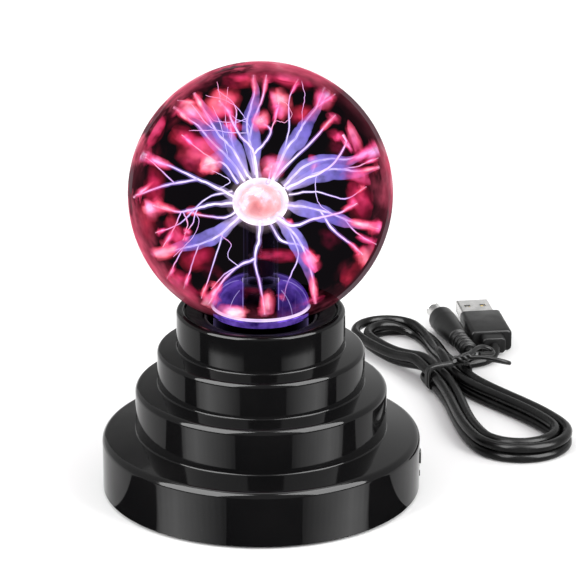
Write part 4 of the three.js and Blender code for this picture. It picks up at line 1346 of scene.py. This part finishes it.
def make_streamers():
    """Every strand is a white core in a violet sheath. Gives the paths, for the flames at their ends."""
    cores, sheaths, ribbons = Strands(8), Strands(12), Strands(20)
    drawn = []
    for index, (kind, side, places) in enumerate(STRANDS):
        seed = index + 1.0
        path = strand_path(side, places, seed, [earlier for earlier, _, _ in drawn])
        drawn.append((path, kind, seed))
        shares = [number / (len(path) - 1) for number in range(len(path))]
        begins = min(1.0, max(0.0, (path[0] - BULB_CENTRE).length - BULB_RADIUS) / 30)
        heat = HAIR_HEAT if kind == HAIR else 1.0
        along = [begins + (1 - begins) * share * heat for share in shares]
        ripple = [1 + 0.3 * noise.noise(Vector((seed * 2.2, share * 8, 0))) for share in shares]
        thin = min(kind, FILAMENT)
        core = [CORE_RADIUS * thin**0.8 * r * (1 - 0.45 * a) for r, a in zip(ripple, along)]
        cores.add(path, [*core[:-1], core[-1] * 0.4], along)
        swell = [1.1 - 0.5 * a + 0.9 * math.exp(-9 * a) for a in along]
        sheaths.add(path, [SHEATH_RADIUS * thin * r * wide for r, wide in zip(ripple, swell)], along)
        if kind == RIBBON:
            add_ribbon(ribbons, path, shares, ripple, along, seed)
    fading_out = [(0, 1), (0.6, 0.95), (0.85, 0.8), (1, 0.6)]
    core_gas = gas("streamer_core_gas", CORE_COLOURS, 1.7, 1.0, fading_out, 4, (0.8, 1.0), 0.4)
    sheath_gas = gas("streamer_sheath_gas", SHEATH_COLOURS, 0.8, 0.5, [(0, 1), (1, 0.9)], 3, (0.5, 1.0))
    spread = [(0, 0.8), (0.3, 1.0), (1, 0.7)]
    ribbon_gas = gas("streamer_ribbon_gas", RIBBON_COLOURS, 1.15, 0.68, spread, 3.2, (0.3, 1.0), 1.0)
    add_glow("plasma_streamer_cores", cores.mesh("cores"), core_gas)
    add_glow("plasma_streamer_sheaths", sheaths.mesh("sheaths"), sheath_gas)
    add_glow("plasma_ribbons", ribbons.mesh("ribbons"), ribbon_gas)
    return drawn


# Pink clouds just inside the wall, as seen from the front: (across, up), (half width, half height), tilt in
# degrees and how hot. The hottest are nearly white.
CLOUDS = [
    ((-18, 12.5), (6.5, 5.5), 35, 0.66), ((-14.5, 8.2), (3.4, 3.0), 20, 0.95),
    ((-24, 17), (5.0, 3.0), -35, 0.5), ((6.2, 27.8), (3.2, 4.6), 10, 0.88),
    ((0.4, 21.8), (2.6, 3.3), 0, 0.85), ((4.6, 7.6), (4.4, 2.8), 15, 0.92),
    ((-36.4, 11.4), (2.9, 2.0), 0, 0.98), ((-34, -5.2), (3.8, 2.7), -20, 0.86),
    ((-26, -12.5), (2.6, 4.6), 20, 0.6), ((-32, -18.8), (6.0, 2.3), 12, 0.82),
    ((-36, -9.5), (2.6, 6.5), 12, 0.45), ((-26.5, -29), (7.5, 4.2), -38, 0.6),
    ((-15.8, -34.2), (2.4, 3.4), -35, 0.95), ((1.9, -36.8), (2.1, 5.4), -5, 0.92),
    ((16, -21.6), (2.0, 4.2), 25, 0.84), ((6.4, -19.9), (6.8, 1.7), -4, 0.5),
    ((33, -19.5), (2.6, 4.6), -22, 0.8), ((36, 13.6), (3.6, 2.4), 25, 0.97),
    ((29, 17.2), (1.8, 4.8), 18, 0.82), ((23.8, 17.4), (2.6, 1.5), 0, 0.6),
    ((20.6, 30.6), (2.7, 4.4), -28, 0.9), ((31, -1.8), (4.2, 5.8), 25, 0.5),
    ((36.8, -10.6), (3.5, 2.2), -10, 0.8), ((-12.4, 28), (4.6, 5.4), -25, 0.72),
    ((-22.5, 26.5), (7.0, 2.8), -40, 0.82), ((-33.5, 20), (2.8, 6.2), -28, 0.6),
    ((9, 36), (9.0, 2.6), -10, 0.62), ((-6, 35.5), (5.4, 2.4), 6, 0.5),
    ((30.5, 5), (4.8, 2.4), -12, 0.75), ((28, -26), (2.4, 4.0), -30, 0.35),
    ((-9, -37.4), (4.8, 2.3), 0, 1.0), ((-8, -37.6), (3.6, 1.8), 0, 1.0), ((-33, 2), (3.0, 5.0), 5, 0.4),
    ((13, 24), (3.5, 3.0), 40, 0.4), ((-20, -21), (5.0, 3.4), 20, 0.35),
]


CLOUD_COLOURS = [
    (0.3, (0.50, 0.02, 0.06)), (0.55, (0.80, 0.06, 0.13)), (0.75, (1.0, 0.17, 0.29)),
    (0.9, (1.0, 0.36, 0.56)), (1.0, (1.0, 0.82, 0.94)),
]
FLAME_COLOURS = [
    (0.0, RED), (0.5, (0.75, 0.05, 0.13)), (0.75, (1.0, 0.16, 0.30)), (0.92, (1.0, 0.42, 0.62)),
    (1.0, (1.0, 0.85, 0.95)),
]
HAZE_COLOURS = [(0.1, (0.35, 0.02, 0.06)), (0.4, (0.6, 0.04, 0.11)), (0.6, (0.85, 0.12, 0.22))]


def gas_ball(name, centre, radii, turn, seed, heat, detail=4):
    """A wispy cloud, its edges fading out round the flat direction, which is turn's Z."""
    ball = lumpy_ball(name, Vector(), radii, 0.5, 1.15, seed, detail)
    ways = [Vector([c / r for c, r in zip(vertex.co, radii)]).normalized() for vertex in ball.vertices]
    fades = [abs(way.z) for way in ways]
    add_values(ball, "along", [heat] * len(fades))
    add_values(ball, "fade", fades)
    ball.transform(Matrix.Translation(centre * MM) @ turn.to_4x4())
    limit = (INNER_WALL - 0.01 * (seed % 60)) * MM  # so that no two clouds lie on the same sphere
    for vertex in ball.vertices:
        vertex.co = within_globe(vertex.co, limit, GLOBE_CENTRE * MM)
    return ball


def make_clouds():
    clouds = []
    facing_front = Matrix((ACROSS, UPWARDS, TOWARDS_CAMERA)).transposed()
    for number, ((across, up), (half_width, half_height), tilt, heat) in enumerate(CLOUDS):
        depth = 0.7 * min(half_width, half_height)
        room = max(9, (INNER_WALL - depth) ** 2 - across * across - up * up)
        centre = in_globe(across, up, math.sqrt(room) - 1)
        turn = facing_front @ Matrix.Rotation(math.radians(tilt), 3, "Z")
        size = (half_width * 1.2, half_height * 1.2, depth)
        clouds.append(gas_ball(f"cloud_{number}", centre, size, turn, number * 2.3, heat))
    show = [(0.3, 0.4), (0.6, 0.65), (0.9, 1), (1, 1)]
    cloud_gas = gas("cloud_gas", CLOUD_COLOURS, 1.7, 0.95, show, 5.5, (0.2, 1.0), 1.5, 2.2)
    add_glow("plasma_clouds", joined("clouds", clouds), cloud_gas)


def make_flames(ends):
    """Where streamers meet the wall they spread into pink flames: a plume inwards and a blot on the glass.

    The hairs are too faint for that.
    """
    flames = []
    for number, (path, kind, seed) in enumerate(ends):
        if kind == HAIR:
            continue
        end = path[-1]
        outwards = (end - GLOBE_CENTRE).normalized()
        vary = abs(noise.noise(Vector((seed * 1.7, 2.1, 0)))) * 2
        size = (0.45 + 0.55 * min(kind, 1.2)) * (0.8 + 0.6 * vary)
        way = (end - path[-5]).normalized()
        side = way.cross(TOWARDS_CAMERA).normalized()
        along_way = Matrix((way, side, way.cross(side))).transposed()
        on_wall = outwards.to_track_quat("Z", "Y").to_matrix()
        for layer, (spread, heat) in enumerate(((1.0, 0.84), (0.55, 1.0))):
            name = f"flame_{number}_{layer}"
            plume = (3.9 * size * spread**0.6, 1.4 * size * spread, 1.3 * size * spread)
            centre = end - way * 3.4 * size - outwards * 0.5
            flames.append(gas_ball(name, centre, plume, along_way, seed, heat, 3))
            blot = (2.8 * size * spread, 2.2 * size * spread, 1.1 * spread)
            flames.append(gas_ball(name + "_foot", end - outwards * 1.5, blot, on_wall, seed + 9, heat, 3))
    flame = gas("flame_gas", FLAME_COLOURS, 1.5, 0.85, EVEN, 3.0, (0.3, 1.0), 1.2, 1.8)
    add_glow("plasma_flames", joined("flames", flames), flame)


HAZE_PUFFS = 90
CLEAR_MIDDLE = 0.72  # puffs more nearly in front of or behind the middle than this are left out


def make_haze():
    """Faint red clouds that drift just inside the wall, all round a clear middle."""
    puffs = []
    golden_angle = math.pi * (3 - math.sqrt(5))
    for number in range(HAZE_PUFFS):
        height = 1 - 2 * (number + 0.5) / HAZE_PUFFS
        level = math.sqrt(1 - height * height)
        turn = golden_angle * number
        way = Vector((level * math.cos(turn), level * math.sin(turn), height))
        density = noise.noise(way * 1.7 + Vector((3.1, 0.4, 7.7)))
        if way.z < -0.8 or density < 0.02 or abs(way.dot(TOWARDS_CAMERA)) > CLEAR_MIDDLE:
            continue
        depth = 1.2 + 1.6 * density
        wide = 4.5 + 6.0 * density
        centre = GLOBE_CENTRE + way * (INNER_WALL - depth - 0.9)
        turn = way.to_track_quat("Z", "Y").to_matrix()
        size = (wide, wide * 0.6, depth)
        puffs.append(gas_ball(f"puff_{number}", centre, size, turn, number * 1.3, 0.5, 3))
    haze = gas("haze_gas", HAZE_COLOURS, 0.8, 0.32, EVEN, 5, (0.0, 1.0), 1.5, 2.4)
    add_glow("plasma_wall_haze", joined("haze", puffs), haze)


def rim_gas(name, dark, light, strength, opacity, sharpness, least, where="all round"):
    """A thin glowing skin, brighter where it is seen edge on and more of it is looked through.

    It glows all round, or on the stem's two lobes at either side, or at the front.
    """
    s = Shading(name)
    wander = s.noise(3, 3)
    tint = s.ramp(wander, (0.3, dark), (0.7, light))
    edge = s.math("POWER", s.facing(), sharpness)
    fac = s.math("MULTIPLY", s.math("ADD", edge, least), s.spread(wander, opacity * 0.7, opacity, 0.3, 0.7))
    if where == "lobes":
        sideways = s.math("ABSOLUTE", s.part(s.place(), "X"))
        fac = s.math("MULTIPLY", fac, s.spread(sideways, 0, 1, 5.0, 5.8))
        fac = s.math("MULTIPLY", fac, s.spread(s.part(s.place(), "Y"), 1, 0.1, -2, 6))
    if where == "front":
        fac = s.math("MULTIPLY", fac, s.spread(s.part(s.place(), "Y"), 1, 0, -6, -1))
    return s.glowing(fac, tint, strength * THROUGH_GLASS, s.node("BsdfTransparent"))


def skin_over(name, surface, gap):
    """A closed skin of gas over a turned glass surface."""
    outer = [(r + gap, z + gap * 0.5) for r, z in surface]
    inner = [(r + 0.05, z) for r, z in surface]
    return turned(name, [*inner[::-1], *outer], 96, 180)


def dome_glints(dome):
    """Thin lines of light on the stem's dome and up the edges of its tube."""
    glints = []
    for side in (-1, 1):
        edge = [Vector((side * r, -0.5, z)) for r, z in dome[::2]]
        glints.append(tube(f"dome_edge_{side}", edge, [0.16] * len(edge), 6))
        wall = [Vector((side * (STEM_RADIUS + 0.2), -1.5, z)) for z in (61, 65, 69, 72)]
        glints.append(tube(f"stem_edge_{side}", wall, [0.14] * 4, 6))
        turn = math.radians(-90 + side * 42)
        streak = [(r * math.cos(turn), r * math.sin(turn), z) for r, z in dome[2:-3:3]]
        streak = smooth_path(streak, 4)
        glints.append(tube(f"dome_streak_{side}", streak, [0.12] * len(streak), 6))
    return joined("glints", glints)


def neck_ring():
    """A thin bright ring of gas on the wall where the globe draws in to its neck."""
    height, thickness, sides = 62.7, 0.5, 14
    radius = math.sqrt(INNER_WALL**2 - (GLOBE_CENTRE_Z - height) ** 2) - thickness
    angles = [2 * math.pi * number / sides for number in range(sides)]
    section = [(radius + thickness * math.cos(a), height + thickness * math.sin(a)) for a in angles]
    return turned("neck_ring", section, 128, 180)


def neck_band():
    """Gas between the stem's foot and the neck."""
    inner, outer, low, high = DOME_RADIUS + 0.05, NECK_RADIUS - GLASS_WALL - 0.05, 59.9, 62.1
    return turned("neck_band", [(inner, low), (outer, low), (outer, high), (inner, high)], 128)


def make_electrode_glow():
    wide, _, high = bulb_radii(0.35)
    bulb = ellipse_arc(BULB_CENTRE_Z, wide, high, 0.0, math.pi, 40)
    skin = turned("bulb_skin", clean_poles(bulb), 96, 180)
    halo = lumpy_ball("halo", BULB_CENTRE, bulb_radii(2.6), 0.08, 0.6, 3, 5)
    dome = [point for point in stem_surface(0) if point[0] > STEM_RADIUS + 0.05 and 60 < point[1] < 80]
    rose = (1, 0.80, 0.84)
    rosy = gas("electrode_halo_gas", [(0, rose), (1, rose)], 1.1, 0.2, EVEN, 5, (0.7, 1.0), 2.2)
    warm = rim_gas("electrode_skin_gas", (1, 0.90, 0.88), (1, 0.99, 0.97), 1.6, 1.0, 0.8, 0.0)
    violet = rim_gas("dome_skin_gas", (0.05, 0.012, 0.36), (0.24, 0.12, 0.85), 0.8, 0.8, 2.2, 0.18, "lobes")
    pale = rim_gas("dome_glint_gas", (0.45, 0.38, 0.95), (0.75, 0.68, 1.0), 0.8, 0.8, 0.3, 0.3)
    white = rim_gas("neck_ring_gas", (0.75, 0.62, 1.0), (1.0, 0.92, 1.0), 1.1, 1.0, 0.3, 0.5, "front")
    deep = rim_gas("neck_band_gas", (0.03, 0.015, 0.16), (0.20, 0.11, 0.62), 0.8, 0.75, 0.3, 0.4, "front")
    add_glow("plasma_electrode_skin", skin, warm)
    add_glow("plasma_electrode_halo", halo, rosy)
    add_glow("plasma_dome_skin", skin_over("dome_skin", dome, 0.5), violet)
    add_glow("plasma_dome_glints", dome_glints(dome), pale)
    add_glow("plasma_neck_ring", neck_ring(), white)
    add_glow("plasma_neck_band", neck_band(), deep)


make_flames(make_streamers())
make_clouds()
make_haze()
make_electrode_glow()


# ---------------------------------------------------------------- underside, switch and socket
COVER_BOTTOM_Z = FOOT_LIFT + 0.4
COVER_TOP_Z = COVER_BOTTOM_Z + 2.4
COVER_RADIUS = TIERS[0][0] - WALL - 0.3
BOARD_BOTTOM_Z = 4.4
PARTS_Z = BOARD_BOTTOM_Z + 1.9
SOCKET_FACE_X = 46.0


def at_angle(degrees, radius):
    angle = math.radians(degrees)
    return radius * math.cos(angle), radius * math.sin(angle)


FOOT_PLACES = [at_angle(degrees, 38) for degrees in (0, 90, 180, 270)]
COVER_SCREW_PLACES = [at_angle(degrees + 45, 42.5) for degrees in (0, 90, 180, 270)]
BOARD_SCREW_PLACES = [(-17.2, -16.5), (-17.2, 16.5), (38, -17)]


def post(name, radius, bottom, top):
    edge = 0.2
    corners = [(0, bottom), (radius, bottom, edge), (radius, top, edge), (0, top)]
    return turned(name, rounded(corners), 32)


def bottom_cover():
    """The round cover: a moulded ring, pockets for the feet, counterbored screw holes and board posts."""
    low = COVER_BOTTOM_Z
    corners = [
        (0, low), (24.2, low), (24.5, low + 0.3), (25.3, low + 0.3), (25.6, low),
        (COVER_RADIUS, low, 0.4), (COVER_RADIUS, COVER_TOP_Z, 0.3), (0, COVER_TOP_Z),
    ]
    cutters = [moved(post("pocket", 5.4, low - 1, low + 0.8), x, y) for x, y in FOOT_PLACES]
    for x, y in COVER_SCREW_PLACES:
        cutters.append(moved(post("counterbore", 3.3, low - 1, low + 1.4), x, y))
        cutters.append(moved(post("hole", 1.6, low + 1, COVER_TOP_Z + 1), x, y))
    disc = carved(turned("cover", rounded(corners), 144), cutters, 30)
    posts = [moved(post("post", 3, COVER_TOP_Z, BOARD_BOTTOM_Z - 0.3), x, y) for x, y in BOARD_SCREW_PLACES]
    return joined("bottom_cover", [disc, *posts])


def rubber_foot():
    """A round foot that stands on a raised ring round a shallow dish."""
    top = COVER_BOTTOM_Z + 0.5
    dish = [(0, 0.3), (2.6, 0.3, 0.5), (3.1, 0.04, 0.3)]
    corners = [*dish, (4.6, 0.04, 0.6), (5, 0.9, 0.4), (5, top, 0.2), (0, top)]
    return turned("foot", rounded(corners), 64, 50)


def cross_screw(name, head_radius, head_height, shank_radius, length):
    """A pan-head screw, head down, with rolled threads and a cross recess."""
    corners = [(0, 0), (head_radius * 0.7, 0, 0.3), (head_radius, head_height * 0.55, 0.5),
               (head_radius, head_height, 0.1), (shank_radius, head_height)]
    pitch, root = 0.7, shank_radius * 0.82
    for number in range(int((length - 1.2 - head_height) / pitch)):
        z = head_height + 0.3 + number * pitch
        corners += [(root, z), (shank_radius, z + pitch * 0.5)]
    corners += [(root, length - 0.8), (0, length)]
    arm, slot = head_radius * 0.62, 0.35
    cross = [rectangle(arm, slot, 0.15), rectangle(slot, arm, 0.15)]
    bars = [extruded("slot", bar, -1, head_height * 0.6) for bar in cross]
    return carved(turned(name, rounded(corners), 40), bars, 30)


def switch_knob():
    half = KNOB_WIDTH / 2
    stem_bar = bar_along_x("knob_stem", 46, 51.2, half - 0.05, 1.3, 0.3, 0.1)
    head = bar_along_x("knob_head", 50.7, 51.9, half, 2.2, 0.5, 0.25)
    grooves = [moved(bar_along_x("groove", 51.5, 53, 0.16, 1.7, 0.1, 0), y=y) for y in (-0.75, 0, 0.75)]
    whole = carved(combined(head, [stem_bar], "UNION"), grooves, 30)
    return moved(whole, y=-KNOB_TRAVEL / 2, z=PORT_Z)


def socket_housing():
    body = bar_along_x("socket_body", 32.6, SOCKET_FACE_X, 4.5, 4.4, 0.8, 0.3)
    face = SOCKET_FACE_X
    outline = [(0, 36), (3.1, 36), (3.1, face - 0.5), (3.9, face + 0.3), (3.9, face + 1), (0, face + 1)]
    bore = along_x(turned("socket_bore", rounded(outline), 64))
    pin_hole = along_x(post("pin_hole", 1.3, 31, 37))
    return moved(carved(body, [bore, pin_hole], 30), y=SOCKET_Y, z=PORT_Z)


def socket_pin():
    pin = turned("socket_pin", rounded([(0, 31.8), (1, 31.8, 0.1), (1, 45, 0.6), (0, 45)]), 40)
    return moved(along_x(pin), y=SOCKET_Y, z=PORT_Z)


def make_underside_and_ports():
    cover = moulded("cover_plastic", grey(0.014), grey(0.024), (0.45, 0.65), 0.35, 0.05, 12)
    rubber = moulded("foot_rubber", grey(0.010), grey(0.022), (0.75, 0.9), 0.5, 0.07, 3)
    zinc = metal("screw_zinc", (0.50, 0.50, 0.49), (0.72, 0.71, 0.68), (0.22, 0.42), 0.4)
    nickel = metal("socket_nickel", (0.60, 0.59, 0.56), (0.78, 0.77, 0.73), (0.15, 0.3), 0.4, (0.1, 1, 1))
    knob = moulded("knob_plastic", grey(0.010), grey(0.018), (0.3, 0.45), 0.2, 0.015, 4)
    socket = moulded("socket_plastic", grey(0.012), grey(0.020), (0.4, 0.55), 0.3, 0.02, 6)
    add_piece("base_cover", bottom_cover(), cover, replaces=["bottom_cover"])
    for index, (x, y) in enumerate(FOOT_PLACES, 1):
        foot = moved(rubber_foot(), x, y)
        add_piece(f"foot_{index}", foot, rubber, replaces=[f"rubber_foot_{index}"])
    for index, (x, y) in enumerate(COVER_SCREW_PLACES, 1):
        screw = moved(cross_screw(f"screw_{index}", 2.8, 1, 1.25, 9), x, y, COVER_BOTTOM_Z + 0.1)
        add_piece(f"base_screw_{index}", screw, zinc, replaces=[f"cover_screw_{index}"])
    for index, (x, y) in enumerate(BOARD_SCREW_PLACES, 1):
        screw = cross_screw(f"pcb_screw_{index}", 2.2, 1.3, 0.9, 5)
        screw.transform(Matrix.Rotation(math.pi, 4, "X"))
        moved(screw, x, y, PARTS_Z + 1.3)
        add_piece(f"pcb_screw_{index}", screw, zinc, replaces=[f"board_screw_{index}"])
    add_piece("switch_slider", switch_knob(), knob, "switch_knob", ["slide_switch_knob"])
    add_piece("socket_body", socket_housing(), socket, replaces=["socket_housing"])
    add_piece("socket_centre_pin", socket_pin(), nickel, replaces=["socket_pin"])


# ---------------------------------------------------------------- circuit inside the base
SAWN_EDGE = (0.030, 0.026, 0.016)


def solder_mask():
    """Green lacquer over tracks that run straight across the board, and its dark sawn edge."""
    s = Shading("solder_mask")
    cells = {"Vector": s.place(3.2, (1, 0.25, 1)), "Scale": 1.0}
    tracks = s.node("TexVoronoi", cells, distance="CHEBYCHEV")
    over_track = s.spread(tracks.outputs["Distance"], 1, 0, 0.22, 0.27)
    lacquer = s.ramp(over_track, (0, (0.012, 0.075, 0.028)), (1, (0.03, 0.16, 0.06)))
    up = s.part(s.node("NewGeometry").outputs["True Normal"], "Z")
    flat = s.math("GREATER_THAN", s.math("ABSOLUTE", up), 0.5)
    colour = s.blend(flat, (*SAWN_EDGE, 1), lacquer)
    return s.surface(colour, s.spread(s.noise(2, 3), 0.22, 0.4), s.bump(over_track, 0.4, 0.035))


def winding(name, dark, light, pitch, metallic, roughness):
    """Turns of wire or tape, one above another, with painted shade in the grooves between turns
    and a painted highlight on their crests.
    """
    s = Shading(name)
    ridge_and_painted_shade = s.math("ABSOLUTE", s.math("SINE", s.math("MULTIPLY", s.part(s.place(pitch), "Z"), math.pi)))
    # Painted shade and highlight: darker where turns meet, lighter on each crest.
    colour = s.ramp(s.math("ADD", ridge_and_painted_shade, s.spread(s.noise(3), -0.2, 0.2)), (0.1, dark), (0.8, light))
    rough = s.spread(s.noise(1.5), *roughness)
    return s.surface(colour, rough, s.bump(ridge_and_painted_shade, 0.8, 0.08), Metallic=metallic)


def sleeve_with_top():
    """A capacitor's shrunk sleeve, with a bare aluminium disc where it ends at the top."""
    s = Shading("capacitor_sleeve")
    bare = s.spread(s.part(s.node("NewGeometry").outputs["True Normal"], "Z"), 0, 1, 0.9, 0.95)
    mottle = s.noise(1.8, 3)
    sleeve = s.ramp(mottle, (0.3, (0.010, 0.018, 0.075)), (0.7, (0.016, 0.03, 0.12)))
    colour = s.blend(bare, sleeve, (*grey(0.62), 1))
    rough = s.spread(mottle, 0.25, 0.4)
    return s.surface(colour, rough, s.bump(s.noise(0.6), 0.4, 0.02), Metallic=bare)


def finish_inside():
    """The pieces closed up in the base keep their shape and get their real surfaces."""
    finishes = [
        (solder_mask(), ["circuit_board"]),
        (moulded("ferrite", (0.028, 0.028, 0.032), (0.045, 0.045, 0.05), (0.55, 0.8), 0.2, 0.03, 2),
         ["core_half_lower", "core_half_upper"]),
        (moulded("bobbin_nylon", (0.58, 0.58, 0.55), (0.72, 0.71, 0.66), (0.35, 0.5), 0.4, 0.015, 5),
         ["coil_bobbin"]),
        (winding("copper_turns", (0.30, 0.10, 0.045), (0.70, 0.30, 0.14), 0.45, 1.0, (0.22, 0.36)),
         ["primary_winding"]),
        (winding("tape_turns", (0.50, 0.32, 0.05), (0.72, 0.52, 0.10), 2.4, 0.0, (0.3, 0.45)),
         ["secondary_winding"]),
        (moulded("lead_silicone", (0.34, 0.014, 0.012), (0.46, 0.025, 0.02), (0.42, 0.6), 0.6, 0.02, 5),
         ["high_voltage_lead"]),
        (moulded("component_epoxy", grey(0.012), grey(0.022), (0.5, 0.7), 0.15, 0.02, 2),
         ["power_transistor", "slide_switch_body"]),
        (metal("extruded_aluminium", (0.60, 0.61, 0.62), (0.76, 0.77, 0.78), (0.25, 0.4), 0.3, (1, 1, 0.08)),
         ["heat_sink"]),
        (metal("steel_wire", grey(0.45), (0.62, 0.61, 0.60), (0.2, 0.35), 0.3, (1, 1, 0.1)),
         ["heat_sink_screw", "electrode_rod"]),
        (sleeve_with_top(), ["electrolytic_capacitor_1", "electrolytic_capacitor_2"]),
        (moulded("capacitor_epoxy", (0.30, 0.035, 0.018), (0.42, 0.06, 0.03), (0.18, 0.34), 1.2, 0.06, 3),
         ["film_capacitor"]),
        (moulded("resistor_lacquer", (0.52, 0.36, 0.20), (0.66, 0.47, 0.27), (0.3, 0.5), 0.4, 0.02, 1.5),
         ["resistor_1", "resistor_2"]),
        (moulded("bung_silicone", grey(0.04), grey(0.07), (0.5, 0.65), 0.8, 0.03, 3), ["stem_bung"]),
        (metal("contact_nickel", (0.58, 0.57, 0.54), (0.76, 0.75, 0.71), (0.18, 0.32), 0.3),
         ["socket_contact"]),
    ]
    for material, names in finishes:
        for name in names:
            mesh = bpy.data.objects[name].data
            for index in range(len(mesh.materials)):
                mesh.materials[index] = material


make_underside_and_ports()
finish_inside()
